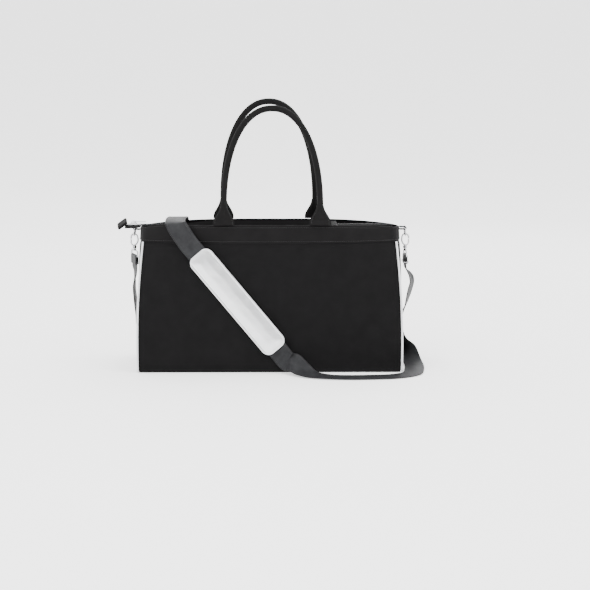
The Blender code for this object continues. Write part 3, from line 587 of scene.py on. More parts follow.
def make_band(row, side, seed):
    """The facing round the mouth, folded over at the top and tucked under the seam below."""
    low = BAND_LOW.z
    tops = [top_edge(foot.x) for foot in mouth_line(side, low)]
    shares = panel_levels(0, 1, 18)
    columns = [[mouth_line(side, low + (high - low) * s)[i] for s in shares] for i, high in enumerate(tops)]
    normals = inward_normals(columns)
    shaped = []
    for column, inwards in zip(columns, normals):
        high = column[-1].z
        made = []
        for point, inward in zip(column, inwards):
            x, y, z = point
            tuck = 0.001 * (1 - smoothstep(0, 0.003, z - low))
            tuck += 0.0014 * (1 - smoothstep(0, 0.0022, high - z)) ** 2
            wave = 0.0007 * rumple(x * 1.6, y, z * 2, seed) * smoothstep(0, 0.01, z - low)
            drop = 0.0004 * rumple(x * 3, 0.2, 0.5, seed) * smoothstep(low, high, z)
            made.append(point + inward * (tuck + 0.0003 - wave) - Vector((0, 0, abs(drop))))
        shaped.append(made)
    name = f"{row}_band_cover"
    piece(name, thick_wall(shaped, normals, 0.0024), BAND, "root", f"{row}_top_band", 50)
    upper = [column[-1] - Vector((0, 0, 0.0042)) - row[-1] * 0.0001 for column, row in zip(columns, normals)]
    lower = [column[0] + Vector((0, 0, 0.0036)) for column in columns]
    bm = bmesh.new()
    for line in (upper, lower):
        stitch_line(bm, line, outward, lift=0.0)
    seam(f"{name}_stitches", bm, "root")


def make_piping():
    """The reflective cord in each corner seam."""
    for end, side_x in ENDS:
        for row, side_y in ROWS:
            node = f"{row}_{end}_piping"
            low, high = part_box(node)
            inward = Vector((-side_x, -side_y, 0)).normalized() * 0.0004
            points = [Vector((side_x * half_width(z), side_y * corner_half_depth(z), z)) + inward
                      for z in spread(low.z, high.z, 60)]
            cord = wire(points, lambda t: 0.00195 * (1 + 0.05 * noise_at(t * 90, side_x, side_y)),
                        side_hint=(1, 0, 0))
            piece(f"{node}_cord", cord, PIPING, "root", node)


def make_base():
    """The base with its rolled edge, and the stiffening board on it."""
    low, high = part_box("base_panel")
    levels = ((0.0, 0.0016), (0.0004, 0.0005), (0.0014, 0.0), (high.z - 0.0006, 0.0), (high.z, 0.0008))
    base = rounded_slab(high.x, high.y, 0.007, levels)
    piece("base_cover", base, BODY, "root", "base_panel", 40)
    low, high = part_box("base_board")
    levels = ((low.z, 0.0004), (low.z + 0.0004, 0.0), (high.z - 0.0004, 0.0), (high.z, 0.0004))
    board = rounded_slab(high.x, high.y, 0.006, levels)
    piece("base_board_sheet", board, BOARD, "root", "base_board", 40)


def make_lining():
    """The loose lining: one open tub with soft upright folds."""
    low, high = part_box("lining")
    levels = spread(low.z, high.z, 30)
    clear, thickness = WALL + 0.0022, 0.0007

    def loop(z, inset, lift=0.0):
        """The lining's plan at a height, going once round."""
        front, rear = (mouth_line(side, z, 0.004, 0.975, 0.86, 90, 10) for side in (-1, 1))
        points = front + rear[::-1]
        free = smoothstep(low.z, low.z + 0.05, z)
        free *= 0.35 + 0.65 * smoothstep(high.z + 0.001, high.z - 0.03, z)
        made = []
        for i, p in enumerate(points):
            crease = 0.5 + 0.5 * noise_at(p.x * 16, p.y * 16, z * 4)
            ridge = 0.5 + 0.5 * noise_at(p.x * 45 + 7, p.y * 45, z * 9)
            inward = inward_of(points[i - 1], p, points[(i + 1) % len(points)])
            fold = free * (0.004 * crease + 0.0016 * ridge)
            made.append(p + inward * (inset + fold) + Vector((0, 0, lift)))
        return made

    outer = [loop(z, clear) for z in levels]
    inner = [loop(z, clear + thickness) for z in levels[:0:-1]]
    inner.append(loop(levels[0], clear + thickness, thickness))
    piece("lining_cloth", skin(outer + inner), LINING, "root", "lining")


# ---- zip
def flap_share(x):
    """How far a zip panel has turned with its body at a place along it: 0 at its ends, 1 between them."""
    left = smoothstep(FLAP_LEFT_X, FLAP_LEFT_X + FLAP_FREE, x)
    right = smoothstep(-FLAP_RIGHT_X, -FLAP_RIGHT_X + FLAP_FREE, -x)
    return min(left, right)


def flap_turn(x, side):
    """How a zip panel is turned at rest at a place along it."""
    return Matrix.Rotation(side * ZIP_OPEN * flap_share(x), 3, "X")


def hang(point, side):
    """A point of the closed zip panel, hung down as far as it hangs at rest."""
    pivot = Vector((point.x, side * ZIP_HINGE_Y, ZIP_Z))
    return pivot + flap_turn(point.x, side) @ (point - pivot)


def flap_edge(x):
    """Distance of a zip panel's outer edge from the middle."""
    return min(ZIP_HINGE_Y + 0.0012, front_depth(x / half_width(ZIP_Z), ZIP_Z) - WALL - 0.0018)


def teeth_row(bm, x0, x1, side, hanging):
    """A run of small rounded coil teeth along one edge of the tape."""
    pitch = 0.0015
    for i in range(int((x1 - x0) / pitch)):
        x = x0 + pitch * (i + 0.5)
        rings = []
        for y, r in ((0.0024, 0.00045), (0.0018, 0.00058), (0.0008, 0.0006), (0.0002, 0.0004)):
            ring = [Vector((x + r * cos(a), side * y, ZIP_Z + 1.6 * r * sin(a))) for a in turns(6)]
            rings.append([hang(p, side) for p in ring] if hanging else ring)
        add_rings(bm, rings)


def make_half_flap(row, side, half, x0, x1):
    """Half of a zip panel with its teeth and stitched lines. It bends where it meets the zip's fixed end."""

    def bend(made):
        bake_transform(made)

    rings = []
    for x in spread(x0, x1, 60):
        edge = flap_edge(x)
        top, bottom = [], []
        for t in spread(0, 1, 16):
            y = 0.0022 + (edge - 0.0022) * t
            tape = 0.0004 if y < 0.0125 else 0.0
            slack = 0.0012 * sin(pi * t) * noise_at(x * 30, side, t * 2) * flap_share(x)
            for line, face in ((top, 0.0004), (bottom, -0.0005)):
                line.append(hang(Vector((x, side * y, ZIP_Z + face - tape + slack)), side))
        rings.append(top + bottom[::-1])
    bend(piece(f"{row}_zip_flap_{half}", skin(rings), BODY, None, f"{row}_zip_panel", 50))
    bm = bmesh.new()
    teeth_row(bm, x0 + 0.0006, x1 - 0.0006, side, True)
    bend(piece(f"{row}_zip_coil_{half}", bm, TEETH, None, f"{row}_zip_teeth", weld=0))
    bm = bmesh.new()
    for offset in (0.0085, 0.0125):
        line = [hang(Vector((x, side * offset, ZIP_Z + 0.00045)), side)
                for x in spread(x0 + 0.001, x1 - 0.001, 80)]
        stitch_line(bm, line, lambda p: flap_turn(p.x, side) @ Vector((0, 0, 1)), lift=0.0)
    bend(seam(f"{row}_zip_stitches_{half}", bm, None))


def make_flaps():
    """The zip panels, each in two halves."""
    middle = (FLAP_LEFT_X + FLAP_RIGHT_X) / 2
    for row, side in ROWS:
        make_half_flap(row, side, "left", FLAP_LEFT_X, middle)
        make_half_flap(row, side, "right", middle, FLAP_RIGHT_X)


def zip_tape(x0, x1):
    """A new bmesh of a run of tape, whose edges curl down along the tail."""
    half_y, thickness = 0.0125, 0.0008
    rings = []
    for x in spread(x0, x1, 40):
        droop = 0.0052 * smoothstep(-0.246, -0.256, x)
        top = [Vector((x, y, TAIL_HIGH.z - 0.0002 + 0.5 * thickness - droop * (y / half_y) ** 2))
               for y in spread(-half_y, half_y, 13)]
        rings.append(top + [p - Vector((0, 0, thickness)) for p in top[::-1]])
    return skin(rings)


def make_fixed_zip():
    """The tail of the zip, its closed end, the coil on both and the panels under them."""
    for name, x0, x1 in (("zip_tail", TAIL_LOW.x - 0.004, TAIL_HIGH.x + 0.0053),
                         ("zip_end", END_LOW.x - 0.0018, END_HIGH.x)):
        piece(f"{name}_cloth", zip_tape(x0, x1), TAPE, "root", f"{name}_tape", 50)
        bm = bmesh.new()
        for side in (-1, 1):
            teeth_row(bm, x0 + 0.001, x1 - 0.002, side, False)
        piece(f"{name}_coil", bm, TEETH, "root", f"{name}_chain", weld=0)
    for end, side in ENDS:
        node = f"{end}_zip_end_panel"
        low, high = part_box(node)
        z = (low.z + high.z) / 2
        inner, outer = sorted((abs(low.x), abs(high.x)))
        rings = []
        for x in spread(inner - 0.001, outer + 0.006, 24):
            depth = front_depth(x / half_width(z), z) - WALL - 0.0012
            top, bottom = [], []
            for t in spread(-1, 1, 19):
                rise = (ZIP_Z - 0.003 - z) * (1 - smoothstep(0.15, 0.9, abs(t)))
                sag = 0.0007 * noise_at(x * 40, t * 2, side)
                for line, face in ((top, 0.0006), (bottom, -0.0004)):
                    line.append(Vector((side * x, t * depth, z + face + rise + sag)))
            rings.append(top + bottom[::-1])
        piece(f"{end}_zip_end_cloth", skin(rings), BODY, "root", node, 50)


def make_end_tab():
    """The folded tab over the zip's end: plump edges, and a stitched square on each face."""
    low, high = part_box("zip_end_tab")
    tilt = Matrix.Rotation(radians(-36), 3, "Y") @ Matrix.Rotation(radians(15), 3, "X")

    def at(x, y, z):
        return tilt @ Vector((x, y, z)) + (low + high) / 2

    levels = ((-0.0026, 0.86), (-0.0022, 0.95), (-0.001, 1.0), (0.001, 1.0), (0.0022, 0.95), (0.0026, 0.86))
    rings = [[at(x, y, z) for x, y in rounded_outline(0.0105 * grow, 0.0155 * grow, 0.0032 * grow, 5)]
             for z, grow in levels]
    piece("zip_end_tab_cloth", skin(rings), HANDLE, "root", "zip_end_tab", 40)
    bm = bmesh.new()
    square = rounded_outline(0.0074, 0.0122, 0.0008, 1)
    for face in (1, -1):
        line = [at(x, y, face * 0.0026) for x, y in square + square[:1]]
        stitch_line(bm, line, tilt @ Vector((0, 0, face)), pitch=0.003, length=0.0022, lift=0.0)
    seam("zip_end_tab_stitches", bm, "root")


def make_slider():
    """The slider's body with its flared mouth and flanges, and the bridge over it."""
    low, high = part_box("zip_slider")
    middle, half = (low.x + high.x) / 2, (high.x - low.x) / 2
    rings = []
    for t in spread(-1, 1, 13):
        wide = 0.005 * (0.74 + 0.26 * smoothstep(-1, 0.2, t)) * (1 - 0.1 * smoothstep(0.6, 1, t))
        lip = wide - 0.0008
        right = [(wide * 0.4, high.z + 0.0003 * (1 - t * t)), (lip, low.z + 0.0012), (wide, low.z + 0.0004),
                 (wide, low.z - 0.0014), (lip, low.z - 0.0014), (lip, low.z)]
        section = [(-y, z) for y, z in right[3::-1]] + right + [(-y, z) for y, z in right[:3:-1]]
        rings.append([Vector((middle + half * t, y, z)) for y, z in section])
    piece("zip_slider_body", skin(rings), NICKEL, "slider", "zip_slider", 30)
    low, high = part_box("zip_slider_bridge")
    stations = [(-0.0042, low.z - 0.0006), (-0.0036, low.z + 0.0016), (-0.0014, high.z - 0.0006),
                (0.0014, high.z - 0.0005), (0.0036, low.z + 0.0018), (0.0043, low.z - 0.0006)]
    points = smooth_path([(middle + x, 0, z) for x, z in stations], 5)
    piece("zip_bridge", wire(points, 0.0005, 12), NICKEL, "slider", "zip_slider_bridge")


def blunt(value, power):
    """A power that keeps the value's sign."""
    return copysign(abs(value) ** power, value)


def make_puller():
    """The puller: a thin bevelled plate with a slot at its hinged end."""
    low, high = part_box("zip_puller")
    middle = (low.x + high.x) / 2
    outline, hole = [], []
    for a in turns(48):
        share = 0.5 + 0.5 * cos(a)
        outline.append((low.x + (high.x - low.x) * share, (0.0022 + 0.0012 * share) * blunt(sin(a), 0.55)))
        hole.append((low.x + 0.0018 + 0.0048 * share, 0.0012 * blunt(sin(a), 0.6)))
    bevel = 0.0003
    rings = []
    for z, cut in ((low.z, bevel), (low.z + bevel, 0.0), (high.z - bevel, 0.0), (high.z, bevel)):
        rings.append([Vector((x - cut / 2 * (1 if x > middle else -1), y * (1 - cut / 0.003), z))
                      for x, y in outline])
    rings += [[Vector((x, y, z)) for x, y in hole] for z in (high.z, low.z)]
    piece("zip_pull_tab", skin(rings, closed_path=True), NICKEL, "puller", "zip_puller", 30)


# ---- handles
HANDLE_X = 0.0905
HANDLE_RADIUS = 0.006
HANDLE_RISE = 0.236
HANDLE_SQUARENESS = 2.15
HANDLE_HINGE_OUT = 0.0004
TAB_HEIGHT = 0.038


def make_handles(row, side, lean, shift):
    """A rolled handle: a tube of folded cloth with a seam inside its curve, on two bell-shaped tabs."""
    body = f"{row}_handle"
    pivot = Vector((0, side * (MOUTH_HALF_DEPTH + HANDLE_HINGE_OUT), HEIGHT + 0.0004))
    turn = Matrix.Rotation(side * lean, 3, "X")
    spring = TAB_HEIGHT + 0.0006
    rise = HANDLE_RISE - HANDLE_RADIUS - spring
    power = 2 / HANDLE_SQUARENESS
    path = [Vector((shift + HANDLE_X * blunt(cos(a), power), 0, spring + rise * sin(a) ** power))
            for a in spread(0, pi, 140)]
    even = [path[0]] + [p for p, along in resample(path, 0.0035)] + [path[-1]]
    across = Vector((0, 1, 0))
    rings, inner_line = [], []
    for i, (point, along) in enumerate(zip(even, tangents(even))):
        third = along.cross(across)
        bend = noise_at(i * 0.35, side, 0)
        pucker = noise_at(i * 0.9, side, 4)
        ring = []
        for a in turns(24):
            groove = 0.0011 * max(0.0, cos(a - pi / 2)) ** 60
            r = HANDLE_RADIUS * (1 + 0.02 * bend + 0.012 * pucker * cos(2 * a + i * 0.2)) - groove
            ring.append(turn @ (point + across * r * cos(a) + third * r * sin(a)) + pivot)
        rings.append(ring)
        inner_line.append(turn @ (point + third * (HANDLE_RADIUS - 0.0006)) + pivot)
    piece(f"{row}_handle_roll", skin(rings), HANDLE, body, f"{row}_handle")
    bm = bmesh.new()
    centre = turn @ Vector((shift, 0, 0.1)) + pivot
    stitch_line(bm, inner_line, lambda p: centre - p, lift=0.0002)
    seam(f"{row}_handle_stitches", bm, body)
    for end, end_side in ENDS:
        make_handle_tab(row, turn, pivot, end, shift + end_side * HANDLE_X)


def tab_halves(t):
    """Half the width and half the thickness of a handle tab, from its foot at 0 to the roll at 1."""
    flare = 1 - smoothstep(0.12, 0.98, t)
    return 0.0068 + (0.02 - 0.0068) * flare, 0.0017 + (0.0066 - 0.0017) * smoothstep(0.15, 0.9, t)


def make_handle_tab(row, turn, pivot, end, x):
    """A bell-shaped tab, gathered round the roll at its top and flat where it enters the seam."""
    rings = []
    for t in spread(0, 1, 26):
        half_x, half_y = tab_halves(t)
        ring = []
        for a in turns(40):
            gather = 0.00035 * sin(a * 9 + t * 3) * smoothstep(0.3, 0.55, t) * (1 - smoothstep(0.9, 1.0, t))
            narrow = 1 - 0.07 * (1 - t) * abs(sin(2 * a))
            out = (half_x + gather) * cos(a) * narrow
            ring.append(turn @ Vector((x + out, (half_y + gather) * sin(a), TAB_HEIGHT * t)) + pivot)
        rings.append(ring)
    for point in rings[0]:
        point.z = max(point.z, top_edge(x) - 0.0012)
    body = f"{row}_handle"
    piece(f"{row}_tab_{end}", skin(rings), HANDLE, body, f"{row}_handle_tab_{end}")
    bm = bmesh.new()
    for face in (-1, 1):
        edge = [(*tab_halves(t), TAB_HEIGHT * t) for t in spread(0.04, 0.6, 30)]
        edge = [(half_x * 0.82, face * half_y * 0.58, z) for half_x, half_y, z in edge]
        loop = [Vector((x - a, b, z)) for a, b, z in edge] + [Vector((x + a, b, z)) for a, b, z in edge[::-1]]
        stitch_line(bm, [turn @ p + pivot for p in loop], turn @ Vector((0, face, 0)))
    seam(f"{row}_tab_{end}_stitches", bm, body)


# ---- metalwork at the ends
RING_X = 0.26
RING_DROP = 0.0152
RING_TILT = radians(6)
HOOK_X = RING_X + RING_DROP * sin(RING_TILT)
HOOK_TOP_Z = 0.255
HOOK_HALF_WIDTH = 0.0064
HOOK_LENGTH = 0.027
HOOK_WIRE = 0.0016
HOOK_FOOT_Z = HOOK_TOP_Z - HOOK_LENGTH
POST_Z = HOOK_FOOT_Z - 0.0013
LEFT_SWIVEL_YAW = radians(20)
LOOP_DROP = 0.0105


def make_ring(end, side):
    """D-ring: a straight bar in the tab and a round bow below it."""
    low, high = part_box(f"{end}_d_ring")
    origin = Vector((side * RING_X, 0, high.z - 0.0013))
    straight, bow, drop = 0.0118 - 0.0022, 0.0118 + 0.0006, 0.0016
    shoulder = []
    for k in range(1, 5):
        a = pi / 2 * (1 - k / 5)
        shoulder.append((straight + (bow - straight) * cos(a), drop * (sin(a) - 1)))
    points = [(y, 0) for y in spread(-straight, straight, 9)] + shoulder
    points += [(bow * cos(a), -drop - (RING_DROP - drop) * sin(a) ** 0.9) for a in spread(0, pi, 31)]
    points += [(-y, z) for y, z in shoulder[::-1]]
    tilt = Matrix.Rotation(-side * RING_TILT, 3, "Y")
    points = [tilt @ Vector((0, y, z)) + origin for y, z in points]
    ring = wire(points, 0.0013, closed=True, side_hint=(1, 0, 0))
    piece(f"{end}_ring_wire", ring, NICKEL, f"{end}_ring", f"{end}_d_ring")


def make_ring_tab(end, side):
    """Folded webbing round the D-ring's bar, with rounded edges and a stitched line."""
    node = f"{end}_ring_tab"
    low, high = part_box(node)
    bar_z = (low.z + high.z) / 2
    root_x = min(abs(low.x), abs(high.x))
    half = (high.y - low.y) / 2
    bend = spread(radians(115), radians(-115), 17)
    rings = []
    for t in spread(-1, 1, 15):
        soft = 0.0004 * smoothstep(0.82, 1.0, abs(t))
        outer, inner = ([(RING_X + r * cos(a), bar_z + r * sin(a)) for a in bend]
                        for r in (0.0034 - soft, 0.0017 + soft * 0.4))
        section = ([(root_x, bar_z + 0.0032 - soft)] + outer + [(root_x, bar_z - 0.0032 + soft)]
                   + [(root_x, bar_z - 0.0015)] + inner[::-1] + [(root_x, bar_z + 0.0015)])
        rings.append([Vector((side * x, half * t, z)) for x, z in section])
    piece(f"{end}_ring_webbing", skin(rings), WEBBING, "root", node, 50)
    bm = bmesh.new()
    for face in (1, -1):
        line = [Vector((side * (root_x + 0.003), y, bar_z + face * 0.0033))
                for y in spread(0.001 - half, half - 0.001, 8)]
        stitch_line(bm, line, (0, 0, face), pitch=0.0028, length=0.002)
    seam(f"{end}_ring_webbing_stitches", bm, "root")


def make_hook(end, side):
    """Snap hook: a cast bow on a turned boss, and its sprung gate with a thumb stud."""
    w, length = HOOK_HALF_WIDTH, HOOK_LENGTH

    def at(x, z):
        """A place on the hook, from the middle of its crown."""
        return Vector((side * (HOOK_X + x), 0, HOOK_TOP_Z + z))

    outline = [(0.0012, -length + 0.0045), (-0.0036, -length + 0.0075), (-w, -length + 0.013), (-w, -0.0075),
               (-0.0045, -0.0022), (0.0, 0.0), (0.0045, -0.0022), (w, -0.007), (w, -0.0095)]
    bm = wire(smooth_path([at(*p) for p in outline], 10),
              lambda t: HOOK_WIRE * (1.0 - 0.12 * smoothstep(0.9, 1.0, t)), 16)
    lug = [(0.0, 0.0045), (0.0026, 0.005), (0.0048, 0.0066), (w * 0.93, 0.008)]
    tube(bm, smooth_path([at(x, z - length) for x, z in lug], 6), 0.0014, 14)
    profile = ((0, 0.0032), (0.06, 0.0039), (0.22, 0.004), (0.28, 0.0036), (0.34, 0.004), (0.62, 0.004),
               (0.8, 0.0034), (1, 0.002))
    turned(bm, at(0, -length - 0.001), [(0.0062 * share, r) for share, r in profile], 28)
    piece(f"{end}_hook_bow", bm, NICKEL, f"{end}_hook", f"{end}_snap_hook", 40)
    pivot = at(w * 0.93, -length + 0.008)
    rise = at(w, -0.0104) - pivot
    bm = wire([pivot + rise * t for t in spread(0, 1, 14)], lambda t: 0.00122 * (1 + 0.1 * sin(pi * t)))
    stud = [pivot + rise * 0.35 + Vector((side * s, 0, 0)) for s in (0.0006, 0.0012, 0.0018, 0.0022)]
    tube(bm, stud, lambda t: 0.0008 + 0.0003 * t, 12)
    piece(f"{end}_gate_bar", bm, NICKEL, f"{end}_gate", f"{end}_hook_gate", 40)


def make_swivel(end, side):
    """Swivel post and the rectangular loop for the strap."""
    yaw = Matrix.Rotation(LEFT_SWIVEL_YAW if side < 0 else 0.0, 3, "Z")
    centre = Vector((side * HOOK_X, 0, 0))
    top = POST_Z - 0.0034
    half, corner = 0.0212 + 0.0028, 0.0028
    middle = centre + Vector((0, 0, top - LOOP_DROP / 2))
    outline = rounded_outline(half, LOOP_DROP / 2, corner, 8)
    bm = wire([yaw @ Vector((0, y, z)) + middle for y, z in outline], 0.0014, closed=True,
              side_hint=yaw @ Vector((1, 0, 0)))
    turned(bm, centre, ((top - 0.0012, 0.003), (top, 0.0035), (top + 0.0016, 0.0034), (top + 0.0022, 0.0026),
                        (POST_Z, 0.0024)), 24)
    piece(f"{end}_swivel_wire", bm, NICKEL, "root", f"{end}_swivel_loop", 40)
    make_strap_end(end, yaw, centre, top - LOOP_DROP)


def make_strap_end(end, yaw, centre, bar_z):
    """The strap's doubled end round the loop's bar, with its two lines of stitching on each face."""
    low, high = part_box(f"{end}_strap_end")
    inner, outer = 0.0018, 0.0034
    half = STRAP_WIDTH / 2

    def at(x, y, z):
        return yaw @ Vector((x, y, z)) + centre

    rings = []
    for t in spread(-1, 1, 21):
        r = outer - 0.0004 * smoothstep(0.9, 1.0, abs(t))
        section = [(r * cos(a), bar_z + r * sin(a)) for a in spread(pi, 0, 19)]
        section += [(r, low.z), (inner, low.z)]
        section += [(inner * cos(a), bar_z + inner * sin(a)) for a in spread(0, pi, 19)]
        section += [(-inner, low.z), (-r, low.z)]
        rings.append([at(x, half * t, z) for x, z in section])
    piece(f"{end}_strap_fold", skin(rings), SATIN, "root", f"{end}_strap_end", 50)
    bm = bmesh.new()
    for face in (-1, 1):
        for z in (low.z + 0.0028, bar_z - 0.004):
            line = [at(face * outer, y, z) for y in spread(-half + 0.003, half - 0.003, 20)]
            stitch_line(bm, line, yaw @ Vector((face, 0, 0)), pitch=0.003, length=0.0022)
    seam(f"{end}_strap_fold_stitches", bm, "root")


def make_adjuster():
    """The slide on the strap: a rectangle of wire."""
    low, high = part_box("right_strap_adjuster")
    points = [(low + high) / 2 + Vector((x, y, 0)) for x, y in rounded_outline(0.005, 0.0213, 0.0022, 7)]
    slide = wire(points, 0.0011, closed=True, side_hint=(0, 0, 1))
    piece("strap_slide_wire", slide, NICKEL, "adjuster", "right_strap_adjuster")


# ---- strap and pad
PAD_TOP = Vector((-0.1362, -0.08, 0.2253))
PAD_RUN = Vector((0.1297, -0.015, -0.1542)).normalized()
PAD_SLANT = Vector((0.7653, 0.0, 0.6437)).normalized()
PAD_LENGTH = 0.235
PAD_WIDTH = 0.05
# The strap's stations, from the right hook down to the pad and from the pad over the mouth to the left
# hook: a place, and the way its width lies there.
STRAP_RIGHT = (
    (0.2616, 0, 0.1972, 0, 1, 0), (0.2632, 0.001, 0.187, 0, 1, 0), (0.2712, 0.003, 0.174, 0.2, 0.98, 0),
    (0.2752, 0.008, 0.16, 0.32, 0.95, 0), (0.273, 0.016, 0.14, 0.32, 0.95, 0),
    (0.268, 0.026, 0.115, 0.2, 0.98, 0), (0.2605, 0.036, 0.09, 0.05, 1, 0),
    (0.259, 0.042, 0.064, -0.1, 0.98, 0.05), (0.263, 0.04, 0.04, -0.35, 0.92, 0.15),
    (0.271, 0.028, 0.02, -0.7, 0.65, 0.15), (0.277, 0.005, 0.007, -0.95, 0.25, 0.05),
    (0.279, -0.03, 0.0022, -1, 0, 0), (0.275, -0.07, 0.0016, -0.97, 0.25, 0),
    (0.265, -0.108, 0.0016, -0.75, 0.65, 0), (0.232, -0.131, 0.0016, -0.4, 0.9, 0),
    (0.19, -0.138, 0.0016, -0.1, 1, 0), (0.15, -0.14, 0.0016, 0, 1, 0),
    (0.112, -0.137, 0.0022, 0.2, 0.97, 0), (0.08, -0.129, 0.005, 0.5, 0.85, 0.1),
    (0.06, -0.117, 0.013, 0.66, 0.6, 0.4), (0.044, -0.1055, 0.023, 0.74, 0.25, 0.62),
)
STRAP_LEFT = (
    (-0.159, -0.077, 0.2542, 0.8, 0, 0.6), (-0.17, -0.0715, 0.27, 0.9, 0, 0.43),
    (-0.1768, -0.062, 0.2812, 0.99, 0.02, 0.1), (-0.1795, -0.032, 0.2845, 1, 0, 0),
    (-0.1805, 0, 0.285, 1, 0, 0), (-0.181, 0.03, 0.2843, 1, 0, 0), (-0.1805, 0.059, 0.2825, 1, 0, 0),
    (-0.18, 0.0725, 0.274, 1, 0, 0), (-0.1785, 0.082, 0.25, 1, 0, 0), (-0.176, 0.089, 0.215, 1, 0, 0),
    (-0.1735, 0.095, 0.175, 1, 0, 0), (-0.1735, 0.101, 0.135, 0.98, 0, -0.15),
    (-0.178, 0.106, 0.1, 0.85, 0, -0.5), (-0.19, 0.11, 0.072, 0.6, 0, -0.8),
    (-0.21, 0.114, 0.056, 0.25, 0, -0.97), (-0.233, 0.112, 0.053, 0, 0, -1),
    (-0.253, 0.1, 0.057, 0.05, -0.1, -1), (-0.264, 0.078, 0.066, 0.05, -0.25, -0.95),
    (-0.265, 0.054, 0.082, 0, -0.5, -0.85), (-0.264, 0.036, 0.106, 0, -0.75, -0.6),
    (-0.265, 0.022, 0.133, 0, -0.92, -0.35), (-0.2645, 0.01, 0.162, 0, -1, -0.2),
    (-0.2622, 0.0012, 0.183, 0.28, -0.96, 0), (-0.2616, 0, 0.1966, 0.342, -0.94, 0),
)


def make_strap():
    """The strap: a satin band with rolled edges and a stitched line along each."""
    stations = [(Vector(s[:3]), Vector(s[3:])) for s in STRAP_RIGHT]
    stations += [(PAD_TOP + PAD_RUN * s, PAD_SLANT) for s in (0.262, 0.235, 0.18, 0.12, 0.06, 0.0, -0.022)]
    stations += [(Vector(s[:3]), Vector(s[3:])) for s in STRAP_LEFT]
    first, last = ((place + Vector((0, 0, 0.01)), way) for place, way in (stations[0], stations[-1]))
    stations = [first] + stations + [last]
    path, widths = (smooth_path(line, 10) for line in zip(*stations))
    half, thick = STRAP_WIDTH / 2, STRAP_THICKNESS / 2
    edge = [(a - half, n) for a, n in ((0, 0), (0.0002, 0.62), (0.001, 0.98), (0.0022, 0.94), (0.0034, 0.74))]
    section = edge + [(a * half, 0.8) for a in (-0.6, -0.3, 0.0, 0.3, 0.6)] + [(-a, n) for a, n in edge[::-1]]
    rings, seams = [], {(side, face): [] for face in (1, -1) for side in (-1, 1)}
    for point, along, across in zip(path, tangents(path), widths):
        across = square_to(across, along)
        normal = along.cross(across)
        top = [point + across * a + normal * n * thick for a, n in section]
        bottom = [point + across * a - normal * n * thick for a, n in section[-2:0:-1]]
        rings.append(top + bottom)
        for (side, face), line in seams.items():
            spot = point + across * side * (half - 0.0032) + normal * face * thick * 0.86
            line.append((spot, normal * face))
    piece("strap_band", skin(rings), SATIN, "root", "shoulder_strap")
    bm = bmesh.new()
    for line in seams.values():
        stitch_normals(bm, line, 0.0036, 0.0027, 0.00024)
    seam("strap_stitches", bm, "root")


def make_pad():
    """Shoulder pad: two crowned layers of silver leatherette with a turned edge, sewn round the strap."""
    across = square_to(PAD_SLANT, PAD_RUN)
    normal = PAD_RUN.cross(across)
    normal = normal if normal.y < 0 else -normal
    corner, pad_half = 0.015, PAD_WIDTH / 2
    half_slot, slot_thick = STRAP_WIDTH / 2 + 0.0006, STRAP_THICKNESS / 2 + 0.0005
    inset = [0.0, 0.0005, 0.0012, 0.002, 0.0028, 0.0036, 0.0044, 0.0054, 0.0075]
    ends = [0.0002, 0.0006] + inset[2:8] + [0.007, 0.009, 0.0115, corner, 0.019, 0.024]
    lengths = ends + spread(ends[-1], PAD_LENGTH - ends[-1], 44)[1:-1] + [PAD_LENGTH - s for s in ends[::-1]]
    for up, name in ((1, "front"), (-1, "back")):
        outwards = normal * up
        rings = []
        for s in lengths:
            inside = min(s, PAD_LENGTH - s)
            half = pad_half - corner + sqrt(max(0.0, corner ** 2 - (corner - min(inside, corner)) ** 2))
            steps = ([i - half for i in inset] + spread(0.0085 - half, half - 0.0085, 14)
                     + [half - i for i in inset[::-1]])
            outer, inner = [], []
            for a in steps:
                from_side = pad_half - abs(a)
                if inside < corner and from_side < corner:
                    from_edge = max(0.0, corner - sqrt((corner - inside) ** 2 + (corner - from_side) ** 2))
                else:
                    from_edge = max(0.0, min(from_side, inside))
                roll = sqrt(max(0.0, 1 - (1 - min(1.0, from_edge / 0.002)) ** 2))
                groove = 0.0009 * max(0.0, 1 - ((from_edge - 0.004) / 0.0013) ** 2)
                crown = 0.0019 * smoothstep(0.004, 0.02, from_edge)
                swell = 0.0004 * smoothstep(0.006, 0.02, from_edge) * rumple(s * 4, a * 8, up * 0.3, 4.4)
                slot = slot_thick * (1 - smoothstep(half_slot, half_slot + 0.0012, abs(a)))
                thick = max(0.0005 + 0.0019 * roll + crown - groove + swell, slot + 0.0003 + 0.0008 * roll)
                middle = PAD_TOP + PAD_RUN * s + across * a
                outer.append(middle + outwards * thick)
                inner.append(middle + outwards * (slot + 0.00008))
            rings.append(outer + inner[::-1])
        layer = piece(f"shoulder_pad_{name}", skin(rings), SILVER, "pad", "shoulder_pad")
        sewn = 0.004
        line = []
        for x, y in rounded_outline(PAD_LENGTH / 2 - sewn, pad_half - sewn, corner - sewn, 10):
            spot = PAD_TOP + PAD_RUN * (PAD_LENGTH / 2 + x) + across * y + outwards * 0.00175
            line.append((spot, outwards))
        bm = bmesh.new()
        stitch_normals(bm, line + line[:1], 0.0034, 0.0026, 0.0003)
        seam(f"shoulder_pad_stitches_{name}", bm, "pad", SILVER_THREAD)


make_walls()
make_band("front", -1, 2.3)
make_band("rear", 1, 6.1)
make_piping()
make_base()
make_lining()
make_flaps()
make_fixed_zip()
make_end_tab()
make_slider()
make_puller()
make_handles("front", -1, radians(20), 0.0045)
make_handles("rear", 1, radians(4), -0.002)
for end_name, end_side in ENDS:
    make_ring(end_name, end_side)
    make_ring_tab(end_name, end_side)
    make_hook(end_name, end_side)
    make_swivel(end_name, end_side)
make_adjuster()
make_strap()
make_pad()


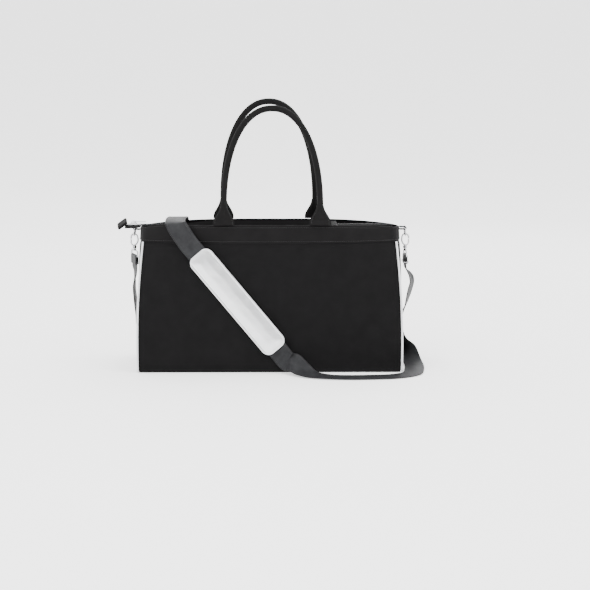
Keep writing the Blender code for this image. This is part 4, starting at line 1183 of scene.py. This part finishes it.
# ---- camera, floor and light
def area_light(name, place, aim_z, size, power):
    """A square soft light aimed at a height above the middle of the floor."""
    data = bpy.data.lights.new(name, "AREA")
    data.shape = "RECTANGLE"
    data.size = data.size_y = size
    data.energy = power
    made = bpy.data.objects.new(name, data)
    made.location = place
    made.rotation_euler = (Vector((0, 0, aim_z)) - Vector(place)).to_track_quat("-Z", "Y").to_euler()
    bpy.context.scene.collection.objects.link(made)


def make_stage():
    """A pale floor that curves up into a backdrop, and soft light from all round."""
    floor = Look("stage_paper", (0.9, 0.9, 0.9), 0.85, Emission_Strength=0.9, Emission_Color=(1, 1, 1, 1))
    floor.color(floor.noise(floor.place(), 4), (0.895, 0.895, 0.895), (0.91, 0.91, 0.91))
    curve_y, radius = 4.0, 2.0
    curve = [(curve_y + radius * sin(a), radius - radius * cos(a)) for a in spread(0.1, pi / 2, 14)]
    profile = [(-7.0, 0.0), (curve_y, 0.0)] + curve + [(6.0, 6.0)]
    sheet = skin([[(9, y, z), (-9, y, z)] for y, z in profile], closed_rings=False, caps=False)
    finish_mesh("stage_floor", sheet, floor.material, None, 0)
    world = bpy.data.worlds.new("studio")
    world.use_nodes = True
    sky = Graph(world.node_tree)
    direction = sky.add("TexCoord", "Generated", {})
    from_rear = sky.math("MULTIPLY_ADD", sky.add("SeparateXYZ", "Y", {"Vector": direction}), 0.5, 0.5)
    background = sky.nodes["Background"].inputs
    sky.links.new(sky.ramp(from_rear, (0.1, 0.1, 0.105), (1, 1, 1), 0.03, 0.45), background["Color"])
    background["Strength"].default_value = 3.3
    bpy.context.scene.world = world
    area_light("key_light", (-0.9, -1.9, 2.2), 0.15, 1.6, 46)
    area_light("fill_light", (1.8, -1.6, 1.2), 0.15, 1.5, 14)
    area_light("top_light", (0.0, 0.3, 2.4), 0.1, 1.8, 6)
    area_light("rear_light", (0.6, 2.2, 1.6), 0.15, 1.5, 14)


make_stage()
camera_data = bpy.data.cameras.new("camera")
camera_data.lens = 79.0
camera_data.sensor_width = 36
camera_data.dof.use_dof = False
camera = bpy.data.objects.new("camera", camera_data)
bpy.context.scene.collection.objects.link(camera)
camera.location = (0.024, -2.49, 0.5075)
camera.rotation_euler = (radians(90 - 8.5), 0, radians(-0.56))
bpy.context.scene.camera = camera
